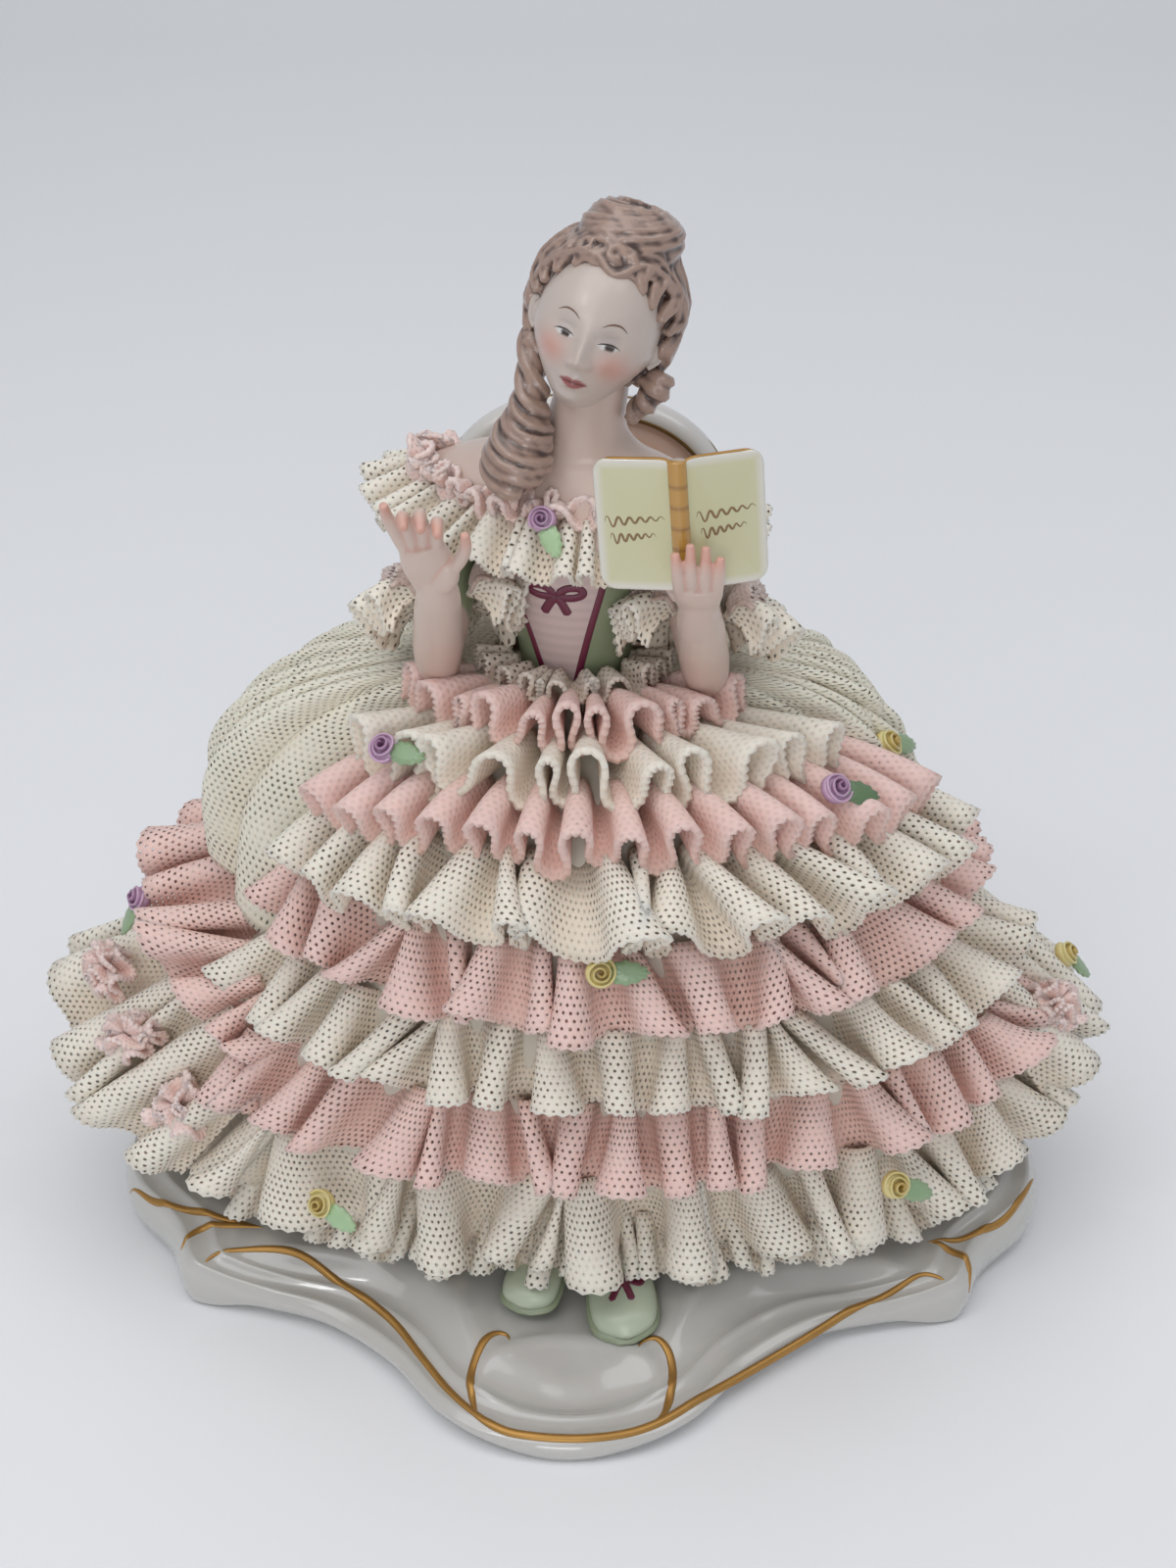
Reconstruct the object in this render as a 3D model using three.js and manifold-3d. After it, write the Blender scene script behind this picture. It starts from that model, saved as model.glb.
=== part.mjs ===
// A porcelain lace figurine: a seated lady with a book, in a tiered ball gown, on a scrolled base.
// Millimetres, +Z up, +X to the viewer's right, the front faces -Y. The origin is on the ground
// under the middle of the base.

import * as THREE from 'three';
import { mergeVertices } from 'three/addons/utils/BufferGeometryUtils.js';
import Module from 'manifold-3d';

const wasm = await Module();
wasm.setup();

// Sizes of the base
const baseHalfWidth = 92.5;
const baseFront = 66.5;
const baseBack = 65;
const plateHeight = 11; // top of the plate under the skirt
const sideRimHeight = 13; // rolled rim of the two side lobes
const frontRimHeight = 4.8; // the same rim at the tip of the front lobe
const footArch = 2.4; // rise of the lower edge between the feet
const rimWidth = 8;
const outlineSteps = 44;

// Sizes of the figure: its pose and carving are set out for a crown height of 206 mm
const figureHeight = 206;
const armThickness = 1; // share of the natural thickness
const fingerRadius = 1.25;

// Sizes of the lace
const laceThickness = 1.5;
const foldPitch = 11.5; // from fold to fold along a hem
const wideFoldPitch = 13.5; // the same for the long folds of the sides and the back
const underFoldPitch = 20; // the frill under the lowest tier
const foldDepth = 2.9; // how far a fold stands off the mean surface at the hem
const belly = 1; // how far a tier on the lap bulges half way down
const lapFoldDepth = 2.2; // the same for the tiers that lie on the lap
const underFoldDepth = 1.4;
const drapeThickness = 2.4; // the puffed overskirt
const drapeFoldDepth = 2.6;

// Sizes of the other pieces
const bookHeight = 22;
const coverWidth = 14;
const coverThickness = 1.2;
const pageThickness = 1.6;
const chairBackWidth = 61;
const chairBackTop = 161;
const chairFrameWidth = 6.5;
const chairFrameThickness = 5;
const roseRadius = 3.3;
const bowLength = 11;
const trimRadius = 2.3;
const trimLift = 2.2; // of the trim over the ring that the neck frill is gathered on
const clearance = 0.3; // gap between pieces that touch

const unit = figureHeight / 206;
const seatOnBase = plateHeight - 11; // the figure rises with the plate that carries it

// Small helpers
const at = (x, y, z) => new THREE.Vector3(x * unit, y * unit, z * unit + seatOnBase);
const clamp01 = (t) => Math.min(1, Math.max(0, t));
const mix = (a, b, t) => a + (b - a) * t;
const rad = THREE.MathUtils.degToRad;

function smooth(from, to, value) {
  const t = clamp01((value - from) / (to - from));
  return t * t * (3 - 2 * t);
}

// Straight lines between rows of a table whose first column is the parameter
function lookUp(table, value) {
  let row = 0;
  while (row < table.length - 2 && value > table[row + 1][0]) row += 1;
  const t = clamp01((value - table[row][0]) / (table[row + 1][0] - table[row][0]));
  return table[row].map((number, column) => mix(number, table[row + 1][column], t));
}

function geometryFrom(points, triangles) {
  const geometry = new THREE.BufferGeometry();
  const numbers = points.flatMap((p) => [p.x, p.y, p.z]);
  geometry.setAttribute('position', new THREE.Float32BufferAttribute(numbers, 3));
  let volume = 0;
  for (const [a, b, c] of triangles) {
    volume += points[a].dot(new THREE.Vector3().crossVectors(points[b], points[c]));
  }
  const outward = volume < 0 ? triangles.map(([a, b, c]) => [a, c, b]) : triangles;
  geometry.setIndex(outward.flat());
  return geometry;
}

// A closed body through rings of points, capped at both ends
function loft(rings) {
  const count = rings[0].length;
  const points = rings.flat();
  const triangles = [];
  for (let row = 0; row < rings.length - 1; row += 1) {
    for (let i = 0; i < count; i += 1) {
      const j = (i + 1) % count;
      const [a, b, c, d] = [row * count + i, row * count + j, (row + 1) * count + j, (row + 1) * count + i];
      triangles.push([a, b, c], [a, c, d]);
    }
  }
  for (const end of [0, rings.length - 1]) {
    const middle = new THREE.Vector3();
    rings[end].forEach((p) => middle.addScaledVector(p, 1 / count));
    points.push(middle);
    for (let i = 0; i < count; i += 1) {
      const j = (i + 1) % count;
      const [a, b] = [end * count + i, end * count + j];
      triangles.push(end === 0 ? [points.length - 1, b, a] : [points.length - 1, a, b]);
    }
  }
  return geometryFrom(points, triangles);
}

// A round body along a smooth path, with a radius at each path point
function limb(path, radii, sides, steps) {
  const curve = new THREE.CatmullRomCurve3(path, false, 'centripetal');
  const rings = [];
  let across = new THREE.Vector3(1, 0, 0.1);
  for (let step = 0; step <= steps; step += 1) {
    const t = step / steps;
    const place = curve.getPoint(t);
    const along = curve.getTangent(t);
    across = across.clone().addScaledVector(along, -across.dot(along)).normalize();
    const up = new THREE.Vector3().crossVectors(along, across);
    const slot = t * (radii.length - 1);
    const low = Math.min(Math.floor(slot), radii.length - 2);
    const radius = mix(radii[low], radii[low + 1], slot - low);
    const ring = [];
    for (let side = 0; side < sides; side += 1) {
      const turn = (2 * Math.PI * side) / sides;
      ring.push(place.clone()
        .addScaledVector(across, radius * Math.cos(turn))
        .addScaledVector(up, radius * Math.sin(turn)));
    }
    rings.push(ring);
  }
  return loft(rings);
}

function ellipsoid(centre, radii, widthSegments, heightSegments, turn = new THREE.Euler()) {
  const geometry = new THREE.SphereGeometry(1, widthSegments, heightSegments);
  geometry.rotateX(Math.PI / 2);
  geometry.scale(radii[0], radii[1], radii[2]);
  geometry.applyMatrix4(new THREE.Matrix4().makeRotationFromEuler(turn));
  geometry.translate(centre.x, centre.y, centre.z);
  return geometry;
}

// Turns every face over, for a geometry that was mirrored
function flipped(geometry) {
  const position = geometry.attributes.position;
  const triangles = [];
  const points = [];
  for (let i = 0; i < position.count; i += 1) {
    points.push(new THREE.Vector3().fromBufferAttribute(position, i));
    if (i % 3 === 0) triangles.push([i, i + 2, i + 1]);
  }
  return geometryFrom(points, triangles);
}

function toManifold(geometry) {
  const bare = geometry.clone();
  bare.deleteAttribute('normal');
  bare.deleteAttribute('uv');
  const merged = mergeVertices(bare, 1e-4);
  return new wasm.Manifold(new wasm.Mesh({
    numProp: 3,
    vertProperties: new Float32Array(merged.attributes.position.array),
    triVerts: new Uint32Array(merged.index.array),
  }));
}

function toGeometry(solid) {
  const mesh = solid.getMesh();
  const geometry = new THREE.BufferGeometry();
  geometry.setAttribute('position', new THREE.BufferAttribute(mesh.vertProperties, 3));
  geometry.setIndex(new THREE.BufferAttribute(mesh.triVerts, 1));
  return geometry;
}

const unite = (geometries) => geometries.map(toManifold).reduce((sum, solid) => sum.add(solid));

function largestPiece(solid) {
  const pieces = solid.decompose();
  return pieces.reduce((best, piece) => (piece.volume() > best.volume() ? piece : best));
}

// Base
// One side of the outline, front to back, as shares of the half width and of the front or back depth
const baseOutline = [
  [0, -1], [0.14, -0.965], [0.25, -0.87], [0.36, -0.69], [0.5, -0.545], [0.64, -0.48], [0.765, -0.44],
  [0.815, -0.4], [0.86, -0.26], [0.965, -0.1], [1, 0.08], [0.985, 0.26], [0.91, 0.42], [0.83, 0.5],
  [0.79, 0.6], [0.64, 0.7], [0.46, 0.8], [0.25, 0.95], [0, 1],
];

function basePoints() {
  const half = baseOutline.map(([x, y]) => new THREE.Vector3(
    x * baseHalfWidth, y * (y < 0 ? baseFront : baseBack), 0));
  const mirrored = half.slice(1, -1).reverse().map((p) => new THREE.Vector3(-p.x, p.y, 0));
  const curve = new THREE.CatmullRomCurve3([...half, ...mirrored], true, 'centripetal');
  return curve.getPoints(outlineSteps).slice(0, outlineSteps);
}

// The rim is low at the front lobe, high at the side lobes and low again behind
function rimHeightAt(point) {
  const sideways = smooth(0.62, 0.98, Math.abs(point.x) / baseHalfWidth);
  const cornerHeight = mix(frontRimHeight, sideRimHeight, 0.25);
  const low = mix(frontRimHeight, cornerHeight, smooth(0.1, 0.7, Math.abs(point.x) / baseHalfWidth));
  return mix(low, sideRimHeight, sideways);
}

// The lower edge touches the ground at the feet and arches up between them
function archAt(point) {
  const share = Math.abs(point.x) / baseHalfWidth;
  const foot = Math.exp(-(((share - 0.79) / 0.08) ** 2)) + Math.exp(-((share / 0.14) ** 2));
  return footArch * (1 - clamp01(foot));
}

function baseGeometry(grow = 0) {
  const outline = basePoints();
  const ring = (inset, heightAt) => outline.map((p) => {
    const reach = Math.hypot(p.x, p.y);
    const share = (reach - inset + grow) / reach;
    return new THREE.Vector3(p.x * share, p.y * share, heightAt(p));
  });
  const plateAt = (p) => mix(plateHeight, rimHeightAt(p) + 1.5, smooth(45, 64, -p.y) * 0.8) + grow;
  return loft([
    ring(rimWidth, () => -grow),
    ring(1.6, (p) => archAt(p) - grow),
    ring(0, (p) => archAt(p) * 0.6 + rimHeightAt(p) * 0.42),
    ring(2.2, (p) => rimHeightAt(p) + grow),
    ring(rimWidth, (p) => rimHeightAt(p) - 0.7 + grow),
    ring(rimWidth + 9, plateAt),
  ]);
}

// The plain petticoat under the lace: height, half width, half depth and centre of each ring,
// in the figure's own measure
const petticoat = [
  [8, 74, 34, 2, 12], [20, 77, 37, 2, 12], [34, 81.5, 42.5, 2, 12], [57, 75, 43.8, 4, 12],
  [73, 62, 43.3, 6, 12], [90, 54.5, 41.5, 4.5, 12], [104, 45.5, 34, 3, 10.5], [113, 35, 24.5, 3, 10],
  [120, 16, 12, 0, 8], [123, 10, 8.5, -0.5, 7],
];

function petticoatRing(height) {
  const [z, halfWidth, halfDepth, centreX, centreY] = lookUp(petticoat, height);
  return { z, halfWidth, halfDepth, centreX, centreY };
}

// A point of an ellipse ring: angle 0 faces the front, 90 degrees the viewer's right
function onRing(ring, angle, extra = 0) {
  return at(
    ring.centreX + (ring.halfWidth + extra) * Math.sin(angle),
    ring.centreY - (ring.halfDepth + extra) * Math.cos(angle),
    ring.z);
}

function ringPoints(ring, count, grow) {
  const points = [];
  for (let i = 0; i < count; i += 1) points.push(onRing(ring, (2 * Math.PI * i) / count, grow / unit));
  return points;
}

// Torso, turned a little towards the left: height, half width, half depth and centre of each ring
const torsoTurn = rad(-14);
const torso = [
  [116, 11, 9.5, -0.5, 7.5], [122.5, 9.8, 8.6, -0.5, 7], [128, 10.6, 9, -0.6, 7],
  [136, 13, 10.4, -0.8, 7.5], [144, 15.3, 12, -1, 8], [149, 17, 12.2, -1.4, 8.7],
  [152, 21.4, 11.8, -2, 9.6], [155, 25, 11.6, -2.6, 10.3], [158, 24.4, 10.8, -2.4, 10.6],
  [160.5, 17, 9, -1.4, 10.4], [162.6, 9.6, 7.2, -0.2, 9.6], [165.5, 6.6, 6.4, 0.7, 8.8],
  [172, 5.8, 5.8, 2, 7.6], [180, 5.2, 5.2, 3.4, 6],
];

function torsoRing(height, count, grow) {
  const [z, halfWidth, halfDepth, centreX, centreY] = lookUp(torso, height);
  const points = [];
  for (let i = 0; i < count; i += 1) {
    const angle = (2 * Math.PI * i) / count;
    const x = (halfWidth + grow / unit) * Math.sin(angle);
    const y = -(halfDepth + grow / unit) * Math.cos(angle);
    points.push(at(
      centreX + x * Math.cos(torsoTurn) - y * Math.sin(torsoTurn),
      centreY + x * Math.sin(torsoTurn) + y * Math.cos(torsoTurn),
      z));
  }
  return points;
}

// Head
const headCentre = [4.5, 4.5, 186.5];
const headScale = 1.1;
const headTurn = new THREE.Euler(rad(-9), rad(17), rad(-10), 'ZYX');

function headPoint(x, y, z) {
  const p = new THREE.Vector3(x, y, z).multiplyScalar(headScale).applyEuler(headTurn);
  return at(p.x + headCentre[0], p.y + headCentre[1], p.z + headCentre[2]);
}

// Skull, jaw, brow, nose, lips and chin, worked out by formulas on a sphere
function headGeometry(grow) {
  const geometry = new THREE.SphereGeometry(1, 16, 11);
  geometry.rotateX(Math.PI / 2);
  const position = geometry.attributes.position;
  for (let i = 0; i < position.count; i += 1) {
    const n = new THREE.Vector3().fromBufferAttribute(position, i);
    const jaw = smooth(0.05, 0.95, -n.z);
    let x = n.x * 9.4 * (1 - 0.34 * jaw);
    let y = n.y * 11 + (n.y > 0 ? jaw * -4.5 * n.y : 0);
    const z = n.z * 12.6;
    const front = clamp01(-1.6 * n.y);
    const middle = Math.exp(-((x / 1.7) ** 2));
    const nose = Math.exp(-(((z + 2.6) / 2.2) ** 2)) * 2.3 + Math.exp(-(((z - 0.6) / 2.4) ** 2)) * 0.9;
    const lips = Math.exp(-(((z + 6.4) / 0.9) ** 2)) * 0.6;
    const chin = Math.exp(-(((z + 10) / 1.8) ** 2)) * 1.2 * Math.exp(-((x / 4) ** 2));
    const sockets = Math.exp(-((((Math.abs(x) - 3.6) / 1.9) ** 2) + (((z - 0.3) / 1.5) ** 2))) * 0.8;
    y -= front * (middle * (nose + lips) + chin - sockets);
    x += grow * n.x;
    y += grow * n.y;
    const p = headPoint(x, y, z + grow * n.z);
    position.setXYZ(i, p.x, p.y, p.z);
  }
  return geometry;
}

// A rounded mass of hair whose surface is waved by locks
function hairMass(centre, radii, locks, depth, grow, widthSegments = 12, heightSegments = 8) {
  const geometry = new THREE.SphereGeometry(1, widthSegments, heightSegments);
  geometry.rotateX(Math.PI / 2);
  const position = geometry.attributes.position;
  for (let i = 0; i < position.count; i += 1) {
    const n = new THREE.Vector3().fromBufferAttribute(position, i);
    const turn = Math.atan2(n.x, -n.y);
    const wave = depth * Math.sin(locks * turn + 3 * n.z) * Math.sqrt(Math.max(0, 1 - n.z * n.z));
    const p = headPoint(
      centre[0] + n.x * (radii[0] + wave + grow),
      centre[1] + n.y * (radii[1] + wave + grow),
      centre[2] + n.z * (radii[2] + grow));
    position.setXYZ(i, p.x, p.y, p.z);
  }
  return geometry;
}

function hairGeometries(grow) {
  const lock = (path, radii, steps) => limb(path, radii.map((r) => r + grow), 6, steps);
  const roll = (side) => lock([
    headPoint(side * 10, 1.5, -4), headPoint(side * 10.8, -0.5, 0), headPoint(side * 10, -3.6, 5),
    headPoint(side * 6.6, -5.8, 9.4), headPoint(0, -5.4, 11.2)], [1.6, 2.2, 2.7, 2.9, 2.5], 7);
  const ringletLeft = lock([
    headPoint(-9, 3, -4), at(-8, 4, 174.5), at(-8.8, 2, 169), at(-10, -0.6, 164.5), at(-10, -3.4, 159.8)],
  [2.8, 3.2, 4.8, 6, 3], 8);
  const ringletRight = lock([headPoint(9.5, 3, -4), at(14.3, 3.4, 176), at(11.5, 3.6, 172.6), at(8.8, 4, 169)],
    [2.4, 2.8, 2.6, 1.6], 5);
  return [
    hairMass([0, 3, 2.2], [11.4, 11.2, 11.8], 9, 0.5, grow),
    hairMass([-0.2, 2.6, 11.4], [9.4, 8.8, 6.6], 6, 0.7, grow, 10, 6),
    hairMass([0, 1.8, 15.8], [6.6, 6, 3.4], 5, 0.5, grow, 9, 5),
    roll(-1), roll(1), ringletLeft, ringletRight,
  ];
}

// Arms and hands: from the shoulder over the elbow to the wrist
const leftShoulder = [-20.5, 14, 152];
const leftElbow = [-24, -3.5, 128.4];
const leftWrist = [-22.3, -16, 147];
const rightShoulder = [17, 6, 152];
const rightElbow = [22.5, -5, 127.6];
const rightWrist = [20.8, -20, 146];

function armGeometries(grow) {
  const thick = (radius) => radius * armThickness + grow;
  const arm = (shoulder, elbow, wrist) => {
    const between = (from, to, t) => at(...from.map((number, axis) => mix(number, to[axis], t)));
    return [
      limb([at(...shoulder), between(shoulder, elbow, 0.5), at(...elbow)], [5.2, 5, 4].map(thick), 8, 2),
      limb([between(elbow, wrist, -0.14), between(elbow, wrist, 0.3), between(elbow, wrist, 0.75),
        between(elbow, wrist, 1.16)], [4, 4.4, 3.2, 2.4].map(thick), 8, 4),
    ];
  };
  return [...arm(leftShoulder, leftElbow, leftWrist), ...arm(rightShoulder, rightElbow, rightWrist)];
}

function finger(points, grow) {
  const r = fingerRadius + grow;
  return limb(points.map((p) => at(...p)), [r, r * 0.95, r * 0.85, r * 0.55], 5, 2);
}

function palm(centre, radii, lean, roll, grow) {
  const turn = new THREE.Euler(rad(lean), rad(roll), 0);
  return ellipsoid(at(...centre), radii.map((r) => r + grow), 8, 6, turn);
}

// The left hand is open, palm towards the front, with curled fingers and the little finger raised
function leftHand(grow) {
  return [
    palm([-23.6, -18.6, 152.6], [4.3, 2.3, 6], 14, -8, grow),
    finger([[-26.2, -19.5, 156], [-27.6, -21, 160], [-28.4, -22.2, 163.5], [-28.6, -23.2, 166.8]], grow),
    finger([[-25.2, -19.8, 156.5], [-25.8, -21, 161], [-25.6, -23.6, 163.8], [-25, -26, 163.2]], grow),
    finger([[-23.3, -20, 157], [-23, -21.2, 161.8], [-22.6, -24, 164.4], [-22, -26.4, 163.4]], grow),
    finger([[-21.4, -20, 156.4], [-20.4, -21.4, 160.8], [-19.8, -24, 163], [-19.4, -26.2, 161.8]], grow),
    finger([[-20.6, -18.8, 151], [-18.4, -20, 154], [-17, -21.6, 157.4], [-16.6, -22.6, 160.4]], grow),
  ];
}

// Book: its spine faces the front, the covers run back a little from it
const bookFoot = new THREE.Vector3(18.4, -26.6, 152.4);
const bookRoll = rad(-4.5);
const bookLean = rad(4);
const coverSweep = rad(14);
const spineHalf = 1.4;
const pageMargin = 0.8;

// The right hand holds the book: fingers in front of the covers, thumb behind
function rightHand(grow) {
  const front = -29.6;
  const fan = [[-4.2, 0], [-1.5, 1.2], [1.4, 1], [4.1, -0.6]];
  const fingers = fan.map(([side, reach]) => finger([
    [20.4 + side * 0.62, -25.6, 149.6], [20.4 + side * 0.75, front + 0.2, 153],
    [20.3 + side * 0.85, front - 0.3, 157.2], [20.2 + side * 0.95, front, 161.6 + reach]], grow));
  return [
    palm([20.6, -23.6, 149.4], [4.4, 2.9, 4.6], 20, 0, grow),
    ...fingers,
    finger([[17.2, -22, 148.4], [15.4, -20.8, 151.6], [15, -19.8, 155.4], [15.2, -20, 158.6]], grow),
  ];
}

// Cross-section of the open book from above: both covers, swept back, with a thickness
function bookSection(reach, front, back) {
  const [cos, sin] = [Math.cos(coverSweep), Math.sin(coverSweep)];
  const corner = (side, along, depth) => new THREE.Vector2(
    side * (along * cos - depth * sin), -(along * sin + depth * cos));
  return new THREE.Shape([
    corner(-1, reach, front), new THREE.Vector2(-spineHalf, -front), new THREE.Vector2(spineHalf, -front),
    corner(1, reach, front), corner(1, reach, back), new THREE.Vector2(0, -back / cos),
    corner(-1, reach, back),
  ]);
}

function bookParts(grow = 0) {
  const slab = (reach, front, back, height, foot) => {
    const section = bookSection(reach + grow, front - grow, back + grow);
    const geometry = new THREE.ExtrudeGeometry(section, { depth: height + 2 * grow, bevelEnabled: false });
    geometry.translate(0, 0, foot - grow);
    geometry.scale(1, -1, 1);
    geometry.rotateX(-bookLean);
    geometry.rotateY(bookRoll);
    const place = at(bookFoot.x, bookFoot.y, bookFoot.z);
    geometry.translate(place.x, place.y, place.z);
    return flipped(geometry);
  };
  const pageBack = coverThickness + pageThickness;
  return [
    slab(coverWidth, 0, coverThickness, bookHeight, 0),
    slab(coverWidth - pageMargin, coverThickness / 2, pageBack, bookHeight - 2 * pageMargin, pageMargin),
  ];
}

// Shoes peep out at the front of the hem
function shoeGeometries(grow) {
  const shoe = (toe, heel) => {
    const path = [0, 0.35, 0.7, 1].map((t) => at(...heel.map((number, axis) => mix(number, toe[axis], t))));
    return limb(path, [3.4, 4.6, 4.3, 1.8].map((r) => r + grow), 8, 4);
  };
  return [
    shoe([10.6, -47, 10.6], [7.5, -20, 15.5]),
    shoe([-8.6, -40.5, 12], [-4.5, -19, 15.5]),
  ];
}

function ladyParts(grow = 0) {
  const petticoatRings = petticoat.map(([height]) => ringPoints(petticoatRing(height), 24, grow));
  const torsoRings = torso.map(([height]) => torsoRing(height, 14, grow));
  return [
    loft(petticoatRings), loft(torsoRings), headGeometry(grow), ...hairGeometries(grow),
    ...armGeometries(grow), ...leftHand(grow), ...rightHand(grow), ...shoeGeometries(grow),
  ];
}

// Lace
// A closed sheet of even thickness over surfaceAt(u, v), u along the hem and v from the gathering to the hem,
// swollen on all sides and edges by grow
function sheet(surfaceAt, columns, rows, thickness, closed, grow) {
  const step = 1e-3;
  const edgeShift = (index, last) => (index === 0 ? -grow : index === last ? grow : 0);
  const sheetPoint = (column, row, side) => {
    const [u, v] = [column / columns, row / rows];
    const alongU = surfaceAt(u + step, v).sub(surfaceAt(u - step, v)).normalize();
    const alongV = surfaceAt(u, v + step).sub(surfaceAt(u, v - step)).normalize();
    const normal = alongV.clone().cross(alongU).normalize();
    return surfaceAt(u, v)
      .addScaledVector(normal, side * (thickness + 2 * grow))
      .addScaledVector(alongV, edgeShift(row, rows))
      .addScaledVector(alongU, closed ? 0 : edgeShift(column, columns));
  };
  const points = [];
  const triangles = [];
  const width = closed ? columns : columns + 1;
  const index = (side, row, column) => (side * (rows + 1) + row) * width + (column % width);
  for (const side of [0.5, -0.5]) {
    for (let row = 0; row <= rows; row += 1) {
      for (let column = 0; column < width; column += 1) points.push(sheetPoint(column, row, side));
    }
  }
  const quad = ([a, b, c, d], turned) => {
    if (turned) triangles.push([a, c, b], [a, d, c]);
    else triangles.push([a, b, c], [a, c, d]);
  };
  for (let column = 0; column < columns; column += 1) {
    const next = column + 1;
    for (let row = 0; row < rows; row += 1) {
      for (const side of [0, 1]) {
        quad([index(side, row, column), index(side, row, next),
          index(side, row + 1, next), index(side, row + 1, column)], side === 1);
      }
    }
    for (const row of [0, rows]) {
      quad([index(0, row, column), index(0, row, next),
        index(1, row, next), index(1, row, column)], row === 0);
    }
  }
  for (let row = 0; row < rows && !closed; row += 1) {
    for (const column of [0, columns]) {
      quad([index(0, row, column), index(0, row + 1, column),
        index(1, row + 1, column), index(1, row, column)], column !== 0);
    }
  }
  return geometryFrom(points, triangles);
}

// Heights and hem ellipses of the front tiers: top is where a tier is gathered on the petticoat, hem
// its lower edge at the front, rise how much higher the hem is at its two ends, from and to its ends
// in degrees, and rows how many strips of facets it has from top to hem
const tiers = [
  { name: 'flounce_1', top: 120.4, hem: 120.6, half: [34, 29], centre: [0, 8], rise: [0, 0],
    from: -72, to: 62, depth: lapFoldDepth, rows: 2, pink: true },
  { name: 'flounce_2', top: 115.8, hem: 112.8, half: [50, 35], centre: [3, 9.5], rise: [0.5, 0.5],
    from: -55, to: 52, depth: lapFoldDepth, rows: 2 },
  { name: 'flounce_3', top: 110.6, hem: 104, half: [62, 43], centre: [5, 10], rise: [0, 0],
    from: -57, to: 62, depth: lapFoldDepth, rows: 2, pink: true },
  { name: 'flounce_4', top: 102, hem: 90.5, half: [66, 51.5], centre: [6, 12], rise: [2, 4],
    from: -60, to: 68, rows: 2 },
  { name: 'flounce_5', top: 87.5, hem: 72.5, half: [68, 50.5], centre: [7, 12], rise: [5, 8],
    from: -70, to: 76, pink: true },
  { name: 'flounce_6', top: 71, hem: 56.5, half: [79, 51], centre: [6, 12], rise: [5, 8],
    from: -66, to: 80 },
  { name: 'flounce_7', top: 55, hem: 40.5, half: [87, 52], centre: [3, 12], rise: [2, 7],
    from: -53, to: 80, pink: true },
  { name: 'flounce_8', top: 38.5, hem: 17.8, half: [93, 50], centre: [2, 12], rise: [7, 7],
    from: -180, to: 180, pitch: wideFoldPitch },
  { name: 'under_frill', top: 26, hem: 14.2, half: [85.5, 44], centre: [2, 12], rise: [4, 4],
    from: -180, to: 180, depth: underFoldDepth, pitch: underFoldPitch },
];

function ellipseLength([a, b], from, to) {
  let length = 0;
  const steps = 90;
  for (let i = 0; i < steps; i += 1) {
    const angle = mix(from, to, (i + 0.5) / steps);
    length += Math.hypot(a * Math.cos(angle), b * Math.sin(angle)) * ((to - from) / steps);
  }
  return length;
}

const foldWave = (folds, u) => 1 - 4 * Math.abs((((folds * u) % 1) + 1) % 1 - 0.5);

// A pleated strip between a gathered ring and a hem ring, both given as functions of the angle
function pleated({ gatherAt, hemAt, from, to, folds, depth, rows = 1, grow = 0 }) {
  const closed = to - from > 359;
  const surfaceAt = (u, v) => {
    const angle = rad(mix(from, to, u));
    const start = gatherAt(angle);
    const end = hemAt(angle);
    const mean = start.clone().lerp(end, v);
    const down = end.clone().sub(start);
    const round = hemAt(angle + 1e-3).sub(hemAt(angle - 1e-3));
    const normal = down.cross(round).normalize();
    const bulge = rows > 1 ? belly * Math.sin(Math.PI * clamp01(v)) : 0;
    const fold = depth * foldWave(folds, u) * Math.max(0, v) ** 1.2;
    return mean.addScaledVector(normal, (bulge + fold) * unit);
  };
  return sheet(surfaceAt, folds * 2, rows, laceThickness, closed, grow);
}

const endShare = (angle) => clamp01(Math.abs(Math.sin(angle))) ** 3;

function tierGeometry(tier, grow = 0) {
  const [riseLeft, riseRight] = tier.rise;
  const [from, to] = [rad(tier.from), rad(tier.to)];
  const folds = Math.max(5, Math.round(ellipseLength(tier.half, from, to) / (tier.pitch ?? foldPitch)));
  const seam = laceThickness / 2 + clearance;
  return pleated({
    gatherAt: (angle) => onRing(petticoatRing(tier.top), angle, seam / unit),
    hemAt: (angle) => onRing({
      z: tier.hem + (Math.sin(angle) < 0 ? riseLeft : riseRight) * endShare(angle),
      halfWidth: tier.half[0],
      halfDepth: tier.half[1],
      centreX: tier.centre[0],
      centreY: tier.centre[1],
    }, angle),
    from: tier.from,
    to: tier.to,
    folds,
    depth: tier.depth ?? foldDepth,
    rows: tier.rows,
    grow,
  });
}

// The pink side flounce and the long train run round the back, from the right side to the left
// front: angle in degrees, height of the gathering, height of the hem and half width of the hem
const sideFlounce = [
  [84, 83.5, 79, 74], [110, 83, 76, 77], [180, 83, 73, 82], [262, 80, 73, 84], [270, 77, 71, 84],
  [280, 71, 66, 84], [288, 66, 61.5, 84], [296, 64, 59, 84], [303, 60, 55, 83], [316, 57, 52, 83],
];
const train = [
  [74, 62, 33, 99], [83, 66, 36, 100], [100, 71, 40, 102], [180, 74, 42, 100], [262, 68, 43, 105],
  [285, 61, 36, 105], [300, 56, 30, 105], [312, 52, 25.5, 104],
];

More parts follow.
